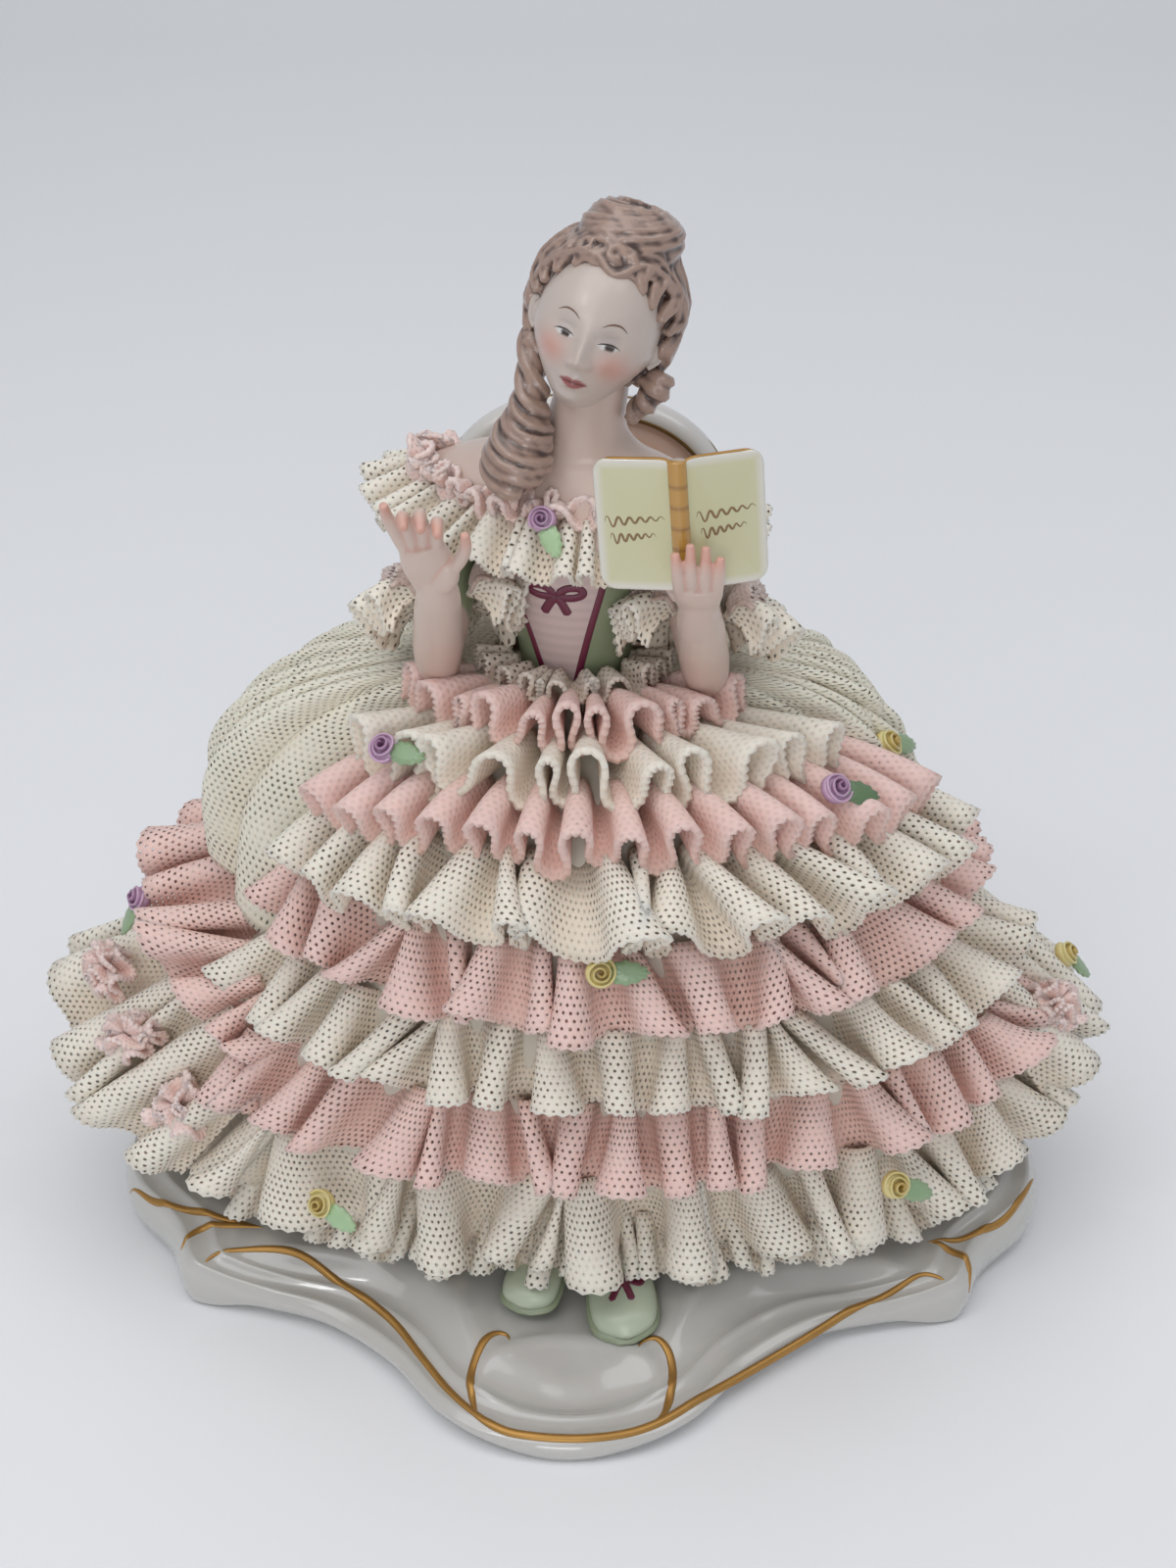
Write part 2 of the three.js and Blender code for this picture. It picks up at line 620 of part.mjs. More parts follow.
function wrapGeometry(table, halfDepth, centreY, pitch, grow) {
  const row = (angle) => lookUp(table, THREE.MathUtils.radToDeg(angle));
  const [from, to] = [table[0][0], table[table.length - 1][0]];
  const folds = Math.round(ellipseLength([table[0][3], halfDepth], rad(from), rad(to)) / pitch);
  const seam = laceThickness / 2 + clearance;
  return pleated({
    gatherAt: (angle) => onRing(petticoatRing(row(angle)[1]), angle, seam / unit),
    hemAt: (angle) => {
      const [, , z, halfWidth] = row(angle);
      return onRing({ z, halfWidth, halfDepth, centreX: 0, centreY }, angle);
    },
    from,
    to,
    folds,
    depth: foldDepth,
    grow,
  });
}

// Overskirt: puffed net over the hips. Share of the way from the waist down, height, reach to the
// left and to the right, half depth and its centre
const puff = [
  [0, 124.5, 15, 16, 12, 8], [0.2, 123, 31, 36, 22, 9], [0.4, 118, 48, 48, 34, 10],
  [0.6, 109.5, 60, 54.5, 43, 11], [0.8, 98.5, 67.5, 60, 48, 12], [1, 84.5, 68.5, 64, 46.5, 12],
];
const puffClosing = 0.2; // share of the overskirt's width over which its front edge turns in to the petticoat

function overskirtGeometry(side, grow = 0) {
  const folds = 5;
  const [frontTop, frontFoot, rear] = side < 0 ? [-54, -70, -162] : [55, 79, 162];
  const surfaceAt = (u, v) => {
    const down = clamp01(v);
    const front = mix(frontTop, frontFoot, down);
    const degrees = mix(front, rear, u);
    const [, z, left, right, halfDepth, centreY] = lookUp(puff, down);
    const halfWidth = side < 0 ? left : right;
    const tail = (side < 0 ? 16 : 2) * Math.exp(-((u / 0.16) ** 2)) * down ** 4;
    const wave = Math.cos(2 * Math.PI * folds * u + 2.2 * v);
    const drape = drapeFoldDepth * wave * Math.sin(Math.PI * down ** 0.8);
    const beyond = (v < 0 ? v : Math.max(0, v - 1)) * 20;
    const height = z - tail - beyond;
    const angle = rad(degrees);
    const inner = onRing(petticoatRing(height), angle, (drapeThickness / 2 + clearance) / unit);
    const outer = onRing({ z: height, halfWidth, halfDepth, centreX: 0, centreY }, angle, drape);
    const open = Math.sin((Math.PI / 2) * clamp01(u / puffClosing));
    return inner.lerp(outer, u < 0 ? u : open);
  };
  return sheet(surfaceAt, folds * 3, 5, drapeThickness, false, grow);
}

// A point of a tilted ring, which may sag behind
function onTilted({ centre, pitch, roll, yaw, backDrop = 0 }, half, angle, level) {
  const [sagStart, sagEnd] = [rad(95), rad(165)];
  const fromFront = Math.abs(Math.atan2(Math.sin(angle), Math.cos(angle)));
  const sag = backDrop * smooth(sagStart, sagEnd, fromFront);
  const p = new THREE.Vector3(half[0] * Math.sin(angle), -half[1] * Math.cos(angle), level - sag);
  p.applyEuler(new THREE.Euler(rad(pitch), rad(roll), rad(yaw), 'ZYX'));
  return at(p.x + centre[0], p.y + centre[1], p.z + centre[2]);
}

// Frills of the bodice, each set on a tilted ring: centre, half sizes of the gathering and the hem,
// how far the hem falls below the gathering, tilt and turn of the ring
function frillGeometry(frill, grow = 0) {
  const circle = ellipseLength(frill.hem, rad(frill.from), rad(frill.to));
  return pleated({
    gatherAt: (angle) => onTilted(frill, frill.gather, angle, 0),
    hemAt: (angle) => onTilted(frill, frill.hem, angle, frill.fall),
    from: frill.from,
    to: frill.to,
    folds: Math.max(6, Math.round(circle / frill.pitchLength)),
    depth: frill.depth,
    grow,
  });
}

// The neckline: a tilted ellipse low on the shoulders, lower down the back
const neckRing = {
  centre: [-2.8, 10.2, 156.2], half: [24.6, 11.2], pitch: 12, roll: 2, yaw: -14, backDrop: 11,
};

const frills = [
  { ...neckRing, name: 'neck_frill', gather: [25.6, 12.2], hem: [36, 21.5], fall: -5.5,
    from: -180, to: 180, depth: 1.8, pitchLength: 9.5 },
  { name: 'sleeve_frill_left', centre: [-22.6, 3.2, 137.6], gather: [6.2, 6.4], hem: [14, 12], fall: -8,
    pitch: -30, roll: -5, yaw: 0, from: 42, to: 318, depth: 1.5, pitchLength: 8.5 },
  { name: 'sleeve_frill_right', centre: [21.4, 0.2, 137], gather: [6.2, 6.4], hem: [14, 12], fall: -8,
    pitch: -22, roll: 4, yaw: 0, from: 42, to: 318, depth: 1.5, pitchLength: 8.5 },
  { name: 'waist_frill', centre: [-0.5, 7, 125.6], gather: [11.6, 10.6], hem: [16.5, 15], fall: -0.6,
    pitch: 3, roll: 0, yaw: 0, from: -80, to: 80, depth: 0.8, pitchLength: 9 },
];

// The crumpled edging above the neck frill
function neckTrimGeometry(grow = 0) {
  const rings = [];
  const steps = 24;
  const sides = 5;
  for (let step = 0; step <= steps; step += 1) {
    const angle = rad(mix(-176, 176, step / steps));
    const radius = trimRadius * (1 + 0.22 * (step % 2)) + grow;
    const ring = [];
    for (let side = 0; side < sides; side += 1) {
      const around = (2 * Math.PI * side) / sides;
      const half = neckRing.half.map((size) => size + radius * Math.cos(around));
      ring.push(onTilted(neckRing, half, angle, trimLift + radius * Math.sin(around)));
    }
    rings.push(ring);
  }
  return loft(rings);
}

// Chair back: a squarish oval frame with a thinner panel, on two posts
const chairSquareness = 2.5; // 2 is an ellipse, more is squarer
const chairCentreHeight = 128;
const chairPlane = 41; // of the frame's middle behind the middle of the base
const chairLean = rad(-4);
const postLength = 60;
const ovalSteps = 28;

function chairBackGeometry() {
  const halfWidth = chairBackWidth / 2;
  const halfHeight = chairBackTop - chairCentreHeight;
  const power = (value) => Math.sign(value) * Math.abs(value) ** (2 / chairSquareness);
  const oval = (inset) => {
    const points = [];
    for (let i = 0; i < ovalSteps; i += 1) {
      const turn = (2 * Math.PI * i) / ovalSteps;
      points.push(new THREE.Vector2(
        (halfWidth - inset) * power(Math.cos(turn)), (halfHeight - inset) * power(Math.sin(turn))));
    }
    return new THREE.Shape(points);
  };
  const middle = at(0, chairPlane, chairCentreHeight);
  const upright = (geometry, thickness) => {
    geometry.rotateX(Math.PI / 2);
    geometry.translate(0, thickness / 2, 0);
    geometry.rotateX(chairLean);
    return geometry.translate(middle.x, middle.y, middle.z);
  };
  const ring = oval(1);
  ring.holes.push(oval(chairFrameWidth));
  const frame = new THREE.ExtrudeGeometry(ring, {
    depth: chairFrameThickness - 2, bevelThickness: 1, bevelSize: 1, bevelSegments: 1 });
  const panel = new THREE.ExtrudeGeometry(oval(chairFrameWidth - 0.8), {
    depth: chairFrameThickness - 3, bevelEnabled: false });
  const post = (side) => {
    const body = new THREE.BoxGeometry(chairFrameWidth, chairFrameThickness, postLength);
    body.translate(side * (halfWidth - 11), 0, -halfHeight - 8);
    body.rotateX(chairLean);
    return body.translate(middle.x, middle.y, middle.z);
  };
  return [
    upright(frame, chairFrameThickness - 2), upright(panel, chairFrameThickness - 3), post(-1), post(1),
  ];
}

// Applied flowers: a rose with a leaf beside it
function roseGeometries(size) {
  const cup = new THREE.LatheGeometry([
    new THREE.Vector2(0, -0.9), new THREE.Vector2(0.8, -0.4), new THREE.Vector2(1, 0.3),
    new THREE.Vector2(0.6, 0.75), new THREE.Vector2(0, 0.45),
  ].map((p) => p.multiplyScalar(size)), 6);
  cup.rotateX(Math.PI / 2);
  const leafRadii = [1.05, 0.6, 0.3].map((share) => share * size);
  const leaf = ellipsoid(new THREE.Vector3(size * 1.45, 0, -0.25 * size), leafRadii, 6, 3);
  return [cup, leaf];
}

const roses = [
  { x: -5.5, y: -5.5, z: 155.6, out: [-0.2, -0.85, 0.5], leaf: -60, color: 'mauve', size: 0.85 },
  { x: -32.5, y: -17, z: 118, out: [-0.3, -0.6, 0.75], leaf: 0, color: 'mauve' },
  { x: 44, y: -16.5, z: 110, out: [0.4, -0.55, 0.7], leaf: -30, color: 'mauve' },
  { x: 56.5, y: 4, z: 109, out: [0.7, -0.3, 0.65], leaf: -30, color: 'yellow' },
  { x: 97, y: 22, z: 52, out: [0.75, -0.2, 0.6], leaf: -70, color: 'yellow' },
  { x: 5.5, y: -38, z: 86.4, out: [0.05, -0.85, 0.5], leaf: 0, color: 'yellow' },
  { x: -85, y: 8, z: 70, out: [-0.8, -0.4, 0.5], leaf: -90, color: 'mauve' },
  { x: -46, y: -35.5, z: 32, out: [-0.35, -0.85, 0.4], leaf: -20, color: 'yellow' },
  { x: 59.5, y: -32.5, z: 37, out: [0.45, -0.8, 0.4], leaf: -30, color: 'yellow' },
];

// A direction as a turn: z of the piece points along it, x of the piece stays level
function facing(out, spin) {
  const z = new THREE.Vector3(...out).normalize();
  const x = new THREE.Vector3(0, 0, 1).cross(z).normalize();
  const y = new THREE.Vector3().crossVectors(z, x);
  return new THREE.Matrix4().makeBasis(x, y, z).multiply(new THREE.Matrix4().makeRotationZ(rad(spin)));
}

function placeFacing(geometries, spot, spin) {
  const place = at(spot.x, spot.y, spot.z);
  return geometries.map((geometry) => {
    geometry.applyMatrix4(facing(spot.out, spin));
    return geometry.translate(place.x, place.y, place.z);
  });
}

// Crumpled lace bows on the train, each a three-lobed tuft
const bows = [
  { x: -93, y: 8, z: 53.5, out: [-0.45, -0.35, 0.8] },
  { x: -86, y: -6, z: 47.5, out: [-0.4, -0.5, 0.75] },
  { x: -75, y: -17, z: 39.5, out: [-0.4, -0.6, 0.7] },
  { x: 92, y: 6, z: 51, out: [0.5, -0.4, 0.75] },
];

function bowGeometry() {
  const geometry = new THREE.SphereGeometry(1, 9, 5);
  geometry.rotateX(Math.PI / 2);
  const position = geometry.attributes.position;
  for (let i = 0; i < position.count; i += 1) {
    const n = new THREE.Vector3().fromBufferAttribute(position, i);
    const crumple = 1 + 0.28 * Math.cos(3 * Math.atan2(n.y, n.x)) * (1 - n.z * n.z);
    position.setXYZ(i, n.x * crumple * bowLength * 0.55, n.y * crumple * bowLength * 0.4, n.z * 2.6);
  }
  return geometry;
}

// Assembly: each later piece is cut back from the earlier ones so that a clearance is left
const colors = {
  porcelain: '#e9e8e6', skin: '#ecd9cf', cream: '#e6e3d6', pink: '#e2b9b2', drape: '#e3e1d0',
  cover: '#cfcba4', mauve: '#c9a0c6', yellow: '#e6d891', chair: '#ece7e0',
};
const group = new THREE.Group();
const placed = [];

function boundsTouch(a, b) {
  return a.min.every((low, axis) => low <= b.max[axis]) && b.min.every((low, axis) => low <= a.max[axis]);
}

function addPiece(name, solid, grown, color, roughness = 0.35) {
  let body = solid;
  for (const other of placed) {
    if (boundsTouch(body.boundingBox(), other.grown.boundingBox())) {
      body = body.subtract(other.grown).subtract(other.solid);
    }
  }
  body = largestPiece(body);
  placed.push({ solid, grown });
  const material = new THREE.MeshStandardMaterial({ color: colors[color], roughness, metalness: 0 });
  const mesh = new THREE.Mesh(toGeometry(body), material);
  mesh.name = name;
  group.add(mesh);
}

function addBuilt(name, build, color, roughness) {
  addPiece(name, toManifold(build(0)), toManifold(build(clearance)), color, roughness);
}

addBuilt('base', baseGeometry, 'porcelain', 0.12);
addPiece('lady', unite(ladyParts()), unite(ladyParts(clearance)), 'skin', 0.2);
addPiece('book', unite(bookParts()), unite(bookParts(clearance)), 'cover', 0.2);
const chair = unite(chairBackGeometry());
addPiece('chair_back', chair, chair, 'chair', 0.15);
for (const tier of tiers) {
  addBuilt(tier.name, (grow) => tierGeometry(tier, grow), tier.pink ? 'pink' : 'cream', 0.6);
}
addBuilt('side_flounce', (grow) => wrapGeometry(sideFlounce, 46, 12, wideFoldPitch, grow), 'pink', 0.6);
addBuilt('train', (grow) => wrapGeometry(train, 53, 14, wideFoldPitch, grow), 'cream', 0.6);
addBuilt('overskirt_left', (grow) => overskirtGeometry(-1, grow), 'drape', 0.6);
addBuilt('overskirt_right', (grow) => overskirtGeometry(1, grow), 'drape', 0.6);
addBuilt('neck_trim', neckTrimGeometry, 'pink', 0.6);
for (const frill of frills) addBuilt(frill.name, (grow) => frillGeometry(frill, grow), 'cream', 0.6);
bows.forEach((bow, i) => {
  const solid = unite(placeFacing([bowGeometry()], bow, i * 40));
  addPiece(`lace_bow_${i + 1}`, solid, solid, 'pink', 0.6);
});
roses.forEach((rose, i) => {
  const solid = unite(placeFacing(roseGeometries(roseRadius * (rose.size ?? 1)), rose, rose.leaf));
  addPiece(`rose_${i + 1}`, solid, solid, rose.color, 0.25);
});

export default group;
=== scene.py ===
# Looks of a porcelain lace figurine: a seated lady in a tiered gown reads a book on a gilded base.
# Sizes are in millimetres in the row frame; addPiece turns them into metres.
import math
import bpy
import numpy as np
from mathutils import Euler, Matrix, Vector
from mathutils.bvhtree import BVHTree


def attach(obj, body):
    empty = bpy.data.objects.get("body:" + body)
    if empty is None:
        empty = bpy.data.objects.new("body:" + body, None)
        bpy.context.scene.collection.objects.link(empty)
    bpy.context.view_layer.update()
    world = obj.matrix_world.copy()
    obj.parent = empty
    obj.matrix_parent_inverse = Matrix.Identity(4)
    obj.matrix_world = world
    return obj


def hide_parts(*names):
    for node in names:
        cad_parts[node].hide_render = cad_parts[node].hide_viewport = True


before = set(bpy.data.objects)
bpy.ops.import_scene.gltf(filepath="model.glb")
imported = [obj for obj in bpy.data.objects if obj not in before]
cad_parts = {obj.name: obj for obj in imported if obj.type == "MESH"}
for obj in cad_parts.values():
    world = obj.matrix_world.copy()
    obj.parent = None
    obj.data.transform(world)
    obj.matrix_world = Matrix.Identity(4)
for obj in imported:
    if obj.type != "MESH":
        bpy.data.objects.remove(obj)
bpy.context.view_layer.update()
millimetre = 0.001


# Camera, floor and light
cameraLook = {"target": (2.0, 0.0, 101.5), "distance": 407.6, "azimuth": 2.0, "elevation": 30.0,
              "lens": 51.75}
floorLook = {"color": "#F2F3F5", "halfWidth": 3000, "front": -1500, "bend": 1100, "rise": 1800}
lightLook = {
    "world": ("#E9ECF2", 0.5),
    "softboxes": [  # place, aim, size, watts
        ((-250, -300, 950), (0, 0, 60), 860, 3.0),
        ((420, -100, 850), (0, 0, 80), 420, 0.8),
        ((-60, -900, 300), (0, 0, 60), 320, 1.15),
        ((-330, -330, 700), (0, 0, 90), 80, 0.2),
        ((0, 600, 1500), (0, 1700, 300), 900, 3.6),
    ],
}


def linear(code):
    values = [int(code[i:i + 2], 16) / 255 for i in (1, 3, 5)]
    return tuple(v / 12.92 if v <= 0.04045 else ((v + 0.055) / 1.055) ** 2.4 for v in values)


def aimAt(thing, place, target):
    thing.location = Vector(place) * millimetre
    thing.rotation_mode = "QUATERNION"
    thing.rotation_quaternion = (Vector(target) - Vector(place)).to_track_quat("-Z", "Y")


def makeCamera(look):
    azimuth, elevation = math.radians(look["azimuth"]), math.radians(look["elevation"])
    back = Vector((math.sin(azimuth) * math.cos(elevation), -math.cos(azimuth) * math.cos(elevation),
                   math.sin(elevation)))
    data = bpy.data.cameras.new("camera")
    data.lens, data.sensor_width, data.clip_start, data.clip_end = look["lens"], 36, 0.01, 50
    camera = bpy.data.objects.new("camera", data)
    bpy.context.scene.collection.objects.link(camera)
    aimAt(camera, Vector(look["target"]) + back * look["distance"], look["target"])
    bpy.context.scene.camera = camera


def makeLights(look):
    world = bpy.data.worlds.new("studio")
    world.use_nodes = True
    background = world.node_tree.nodes["Background"]
    background.inputs["Color"].default_value = (*linear(look["world"][0]), 1)
    background.inputs["Strength"].default_value = look["world"][1]
    bpy.context.scene.world = world
    for i, (place, aim, size, watts) in enumerate(look["softboxes"]):
        data = bpy.data.lights.new(f"softbox{i}", "AREA")
        data.size, data.energy = size * millimetre, watts
        light = bpy.data.objects.new(data.name, data)
        bpy.context.scene.collection.objects.link(light)
        aimAt(light, place, aim)
    bpy.context.scene.view_settings.view_transform = "Standard"
    bpy.context.scene.cycles.transparent_max_bounces = 32


makeCamera(cameraLook)
makeLights(lightLook)
print("camera and lights placed")


# Shapes: points, four-sided and three-sided faces
def smoothStep(low, high, value):
    t = np.clip((value - low) / (high - low), 0, 1)
    return t * t * (3 - 2 * t)


def bump(value, width):
    return np.exp(-(value / width) ** 2)


def unitRows(vectors):
    return vectors / np.maximum(np.linalg.norm(vectors, axis=-1, keepdims=True), 1e-9)


def circle(count):
    return 2 * np.pi * np.arange(count) / count


def lengthAlong(line):
    return np.concatenate([[0], np.cumsum(np.linalg.norm(np.diff(line, axis=0), axis=1))])


def turning(turn):
    return np.array(Euler([math.radians(a) for a in turn], "XYZ").to_matrix())


def waver(seed, t, slow):
    # smooth, repeatable unevenness between about -1 and 1
    dice = np.random.default_rng(seed)
    parts = 5
    rates, starts = dice.uniform(0.15, 1, parts) * slow, dice.uniform(0, 1, parts)
    waves = sum(np.sin(2 * np.pi * (rate * t + start)) for rate, start in zip(rates, starts))
    return waves / math.sqrt(parts)


def gridFaces(rows, columns, wrap=False, wrapRows=False):
    steps = np.arange(rows if wrapRows else rows - 1), np.arange(columns if wrap else columns - 1)
    r, c = np.meshgrid(*steps, indexing="ij")
    down, right = (r + 1) % rows, (c + 1) % columns
    faces = [r * columns + c, r * columns + right, down * columns + right, down * columns + c]
    return np.stack(faces, -1).reshape(-1, 4)


noTriangles = np.zeros((0, 3), int)


def outward(shape):
    # the same shape with its faces turned to the outside
    points, quads, triangles = shape
    halves = quads[:, :3], quads[:, [0, 2, 3]], triangles
    corners = [points[half.T] for half in halves]
    volume = sum(np.einsum("ij,ij", a, np.cross(b, c)) for a, b, c in corners)
    return shape if volume >= 0 else (points, quads[:, ::-1], triangles[:, ::-1])


def loft(rings, capped=True, wrapRows=False):
    rings = np.asarray(rings, float)
    rows, columns = rings.shape[:2]
    points, quads = rings.reshape(-1, 3), gridFaces(rows, columns, True, wrapRows)
    if not capped:
        return outward((points, quads, noTriangles))
    i = np.arange(columns)
    j, last, middle = (i + 1) % columns, (rows - 1) * columns, 0 * i + len(points)
    fans = np.vstack([np.stack([middle, j, i], 1), np.stack([middle + 1, last + i, last + j], 1)])
    return outward((np.vstack([points, rings[0].mean(0), rings[-1].mean(0)]), quads, fans))


def join(shapes):
    starts = np.cumsum([0] + [len(shape[0]) for shape in shapes])
    faces = [np.vstack([shape[k] + start for shape, start in zip(shapes, starts)]) for k in (1, 2)]
    return np.vstack([shape[0] for shape in shapes]), *faces


def smoothPath(points, steps, closed=False):
    p = np.asarray(points, float)
    count = len(p)
    t = np.linspace(0, count, steps, endpoint=False) if closed else np.linspace(0, count - 1, steps)
    i = np.minimum(t.astype(int), count - 1 if closed else count - 2)
    f = (t - i)[:, None]
    a, b, c, d = (p[(i + k) % count if closed else np.clip(i + k, 0, count - 1)] for k in (-1, 0, 1, 2))
    bend, twist = (2 * a - 5 * b + 4 * c - d) * f ** 2, (3 * b - 3 * c + d - a) * f ** 3
    return 0.5 * (2 * b + (c - a) * f + bend + twist)


def smoothValues(values, steps, closed=False):
    return smoothPath(np.reshape(values, (-1, 1)), steps, closed)[:, 0]


def directions(line, closed=False):
    if closed:
        return unitRows(np.roll(line, -1, 0) - np.roll(line, 1, 0))
    return unitRows(np.gradient(line, axis=0))


def sweep(path, radii, sides, steps, flat=1.0, across=(1, 0, 0.1), closed=False,
          grooves=0, grooveDepth=0.0, twist=0.0):
    # a tube of changing radius about a path, with grooves along it that may wind
    line = smoothPath(path, steps, closed)
    radius = smoothValues(radii, steps, closed) if len(radii) > 1 else np.full(steps, radii[0])
    along = directions(line, closed)
    side, across = [], np.array(across, float)
    for direction in along:
        across = across - direction * (across @ direction)
        across = across / np.linalg.norm(across)
        side.append(across)
    side = np.array(side)
    up = np.cross(along, side)
    turn = circle(sides)
    wave = grooveDepth * np.cos(grooves * turn + twist * np.linspace(0, 1, steps)[:, None])
    reach = (radius[:, None] * (1 + wave))[..., None]
    wide = reach * np.cos(turn)[:, None] * side[:, None]
    high = flat * reach * np.sin(turn)[:, None] * up[:, None]
    return loft(line[:, None] + wide + high, not closed, closed)


def ball(centre, radii, turn=(0, 0, 0), columns=24, rows=14):
    fall = np.linspace(0.03, np.pi - 0.03, rows)[:, None]
    a = circle(columns)
    rings = np.stack([np.sin(fall) * np.cos(a), np.sin(fall) * np.sin(a), np.cos(fall) + 0 * a], -1)
    return move(loft(rings * np.array(radii)), centre, turn)


def move(shape, place, turn):
    return shape[0] @ turning(turn).T + np.array(place, float), *shape[1:]


def thickSheet(grid, thickness, uv, wrap=False):
    # both faces of a sheet and its edges, with the flat place of each corner
    rows, columns = grid.shape[:2]
    across = np.roll(grid, -1, 1) - np.roll(grid, 1, 1) if wrap else np.gradient(grid, axis=1)
    normal = unitRows(np.cross(np.gradient(grid, axis=0), across))
    points = np.vstack([(grid + side * normal * thickness / 2).reshape(-1, 3) for side in (1, -1)])
    wide = columns if wrap else columns - 1
    r, c = np.meshgrid(np.arange(rows - 1), np.arange(wide), indexing="ij")
    corners = []

    def addFaces(*spots):
        # each spot gives the side, row and column of one corner
        places = [np.stack(np.broadcast_arrays(*spot), -1).reshape(-1, 3) for spot in spots]
        corners.append(np.stack(places, 1))

    addFaces((0, r, c), (0, r + 1, c), (0, r + 1, c + 1), (0, r, c + 1))
    addFaces((1, r, c), (1, r, c + 1), (1, r + 1, c + 1), (1, r + 1, c))
    c, r = np.arange(wide), np.arange(rows - 1)
    top, end = 0 * c, 0 * c + rows - 1
    addFaces((0, top, c), (0, top, c + 1), (1, top, c + 1), (1, top, c))
    addFaces((0, end, c), (1, end, c), (1, end, c + 1), (0, end, c + 1))
    if not wrap:
        left, right = 0 * r, 0 * r + columns - 1
        addFaces((0, r, left), (1, r, left), (1, r + 1, left), (0, r + 1, left))
        addFaces((0, r, right), (0, r + 1, right), (1, r + 1, right), (1, r, right))
    corners = np.vstack(corners)
    side, row, column = corners[..., 0], corners[..., 1], corners[..., 2]
    quads = side * rows * columns + row * columns + column % columns
    return (points, quads, noTriangles), uv[row, column].reshape(-1, 2)


# Materials
netPitch = 1.38  # from hole to hole along the lace


def fill(tree, node, inputs):
    for key, value in inputs.items():
        if isinstance(value, bpy.types.NodeSocket):
            tree.links.new(value, node.inputs[key])
        else:
            node.inputs[key].default_value = value
    return node


def put(tree, kind, inputs=(), **settings):
    node = tree.nodes.new("ShaderNode" + kind)
    for key, value in settings.items():
        setattr(node, key, value)
    return fill(tree, node, dict(inputs))


def startGroup(name, inputs, outputs):
    tree = bpy.data.node_groups.new(name, "ShaderNodeTree")
    for label, kind, value in inputs:
        socket = tree.interface.new_socket(label, in_out="INPUT", socket_type="NodeSocket" + kind)
        if value is not None:
            socket.default_value = value
    for label, kind in outputs:
        tree.interface.new_socket(label, in_out="OUTPUT", socket_type="NodeSocket" + kind)
    return tree, tree.nodes.new("NodeGroupInput").outputs, tree.nodes.new("NodeGroupOutput").inputs


def makeNetGroup():
    # round holes in staggered rows, in a net laid flat in millimetres; slip has filled some of them
    tree, given, result = startGroup("netHoles", [
        ("Place", "Vector", None), ("Pitch", "Float", netPitch), ("Hole", "Float", 0.32),
        ("Filled", "Float", 0.3)],
        [("Mask", "Float"), ("Relief", "Float")])

    def number(operation, first, second):
        return put(tree, "Math", {0: first, 1: second}, operation=operation).outputs[0]

    def vector(operation, *terms):
        return put(tree, "VectorMath", dict(enumerate(terms)), operation=operation).outputs

    def ramp(low, high):
        ends = {"Value": nearest, "From Min": low, "From Max": high}
        return put(tree, "MapRange", ends, interpolation_type="SMOOTHSTEP").outputs[0]

    parts = put(tree, "SeparateXYZ", {0: given["Place"]}).outputs
    rowGap = number("MULTIPLY", given["Pitch"], 3 ** 0.5)
    cell, flatCell = (put(tree, "CombineXYZ", {0: given["Pitch"], 1: rowGap, 2: z}).outputs[0]
                      for z in (1.0, 0.0))
    share = vector("DIVIDE", vector("ADD", given["Place"], (0, 0.35, 0))[0], cell)[0]
    distances = []
    for shift in (0.0, 0.5):
        part = vector("FRACTION", vector("ADD", share, (shift, shift, 0))[0])[0]
        real = vector("MULTIPLY", vector("SUBTRACT", part, (0.5, 0.5, 0))[0], flatCell)[0]
        distances.append(vector("LENGTH", real)["Value"])
    nearest = number("MINIMUM", *distances)
    patches = put(tree, "TexNoise", {"Vector": given["Place"], "Scale": 0.12, "Detail": 3.0}).outputs["Fac"]
    spread = number("MULTIPLY", number("SUBTRACT", patches, 0.5), 3.2)
    openShare = number("SUBTRACT", number("ADD", spread, 1.0), given["Filled"])
    radius = number("MULTIPLY", number("MINIMUM", number("MAXIMUM", openShare, 0.0), 1.0), given["Hole"])
    mask = ramp(number("SUBTRACT", radius, 0.05), number("ADD", radius, 0.05))
    hem = number("LESS_THAN", parts["Y"], 0.5)
    tree.links.new(number("MAXIMUM", mask, hem), result["Mask"])
    tree.links.new(ramp(0.1, number("MULTIPLY", given["Pitch"], 0.42)), result["Relief"])
    return tree


def makeToneGroup():
    # painted colour with the slight mottling of a fired piece
    tree, given, result = startGroup("firedTone", [
        ("Color", "Color", (1, 1, 1, 1)), ("Amount", "Float", 0.1), ("Scale", "Float", 90.0)],
        [("Color", "Color"), ("Relief", "Float")])
    place = put(tree, "TexCoord").outputs["Object"]
    noise = put(tree, "TexNoise", {"Vector": place, "Scale": given["Scale"], "Detail": 3.0}).outputs["Fac"]
    level = noise
    for operation, term in (("SUBTRACT", 0.5), ("MULTIPLY", given["Amount"]), ("ADD", 1.0)):
        level = put(tree, "Math", {0: level, 1: term}, operation=operation).outputs[0]
    mixed = put(tree, "VectorMath", {0: given["Color"], "Scale": level}, operation="SCALE").outputs[0]
    tree.links.new(mixed, result["Color"])
    tree.links.new(noise, result["Relief"])
    return tree


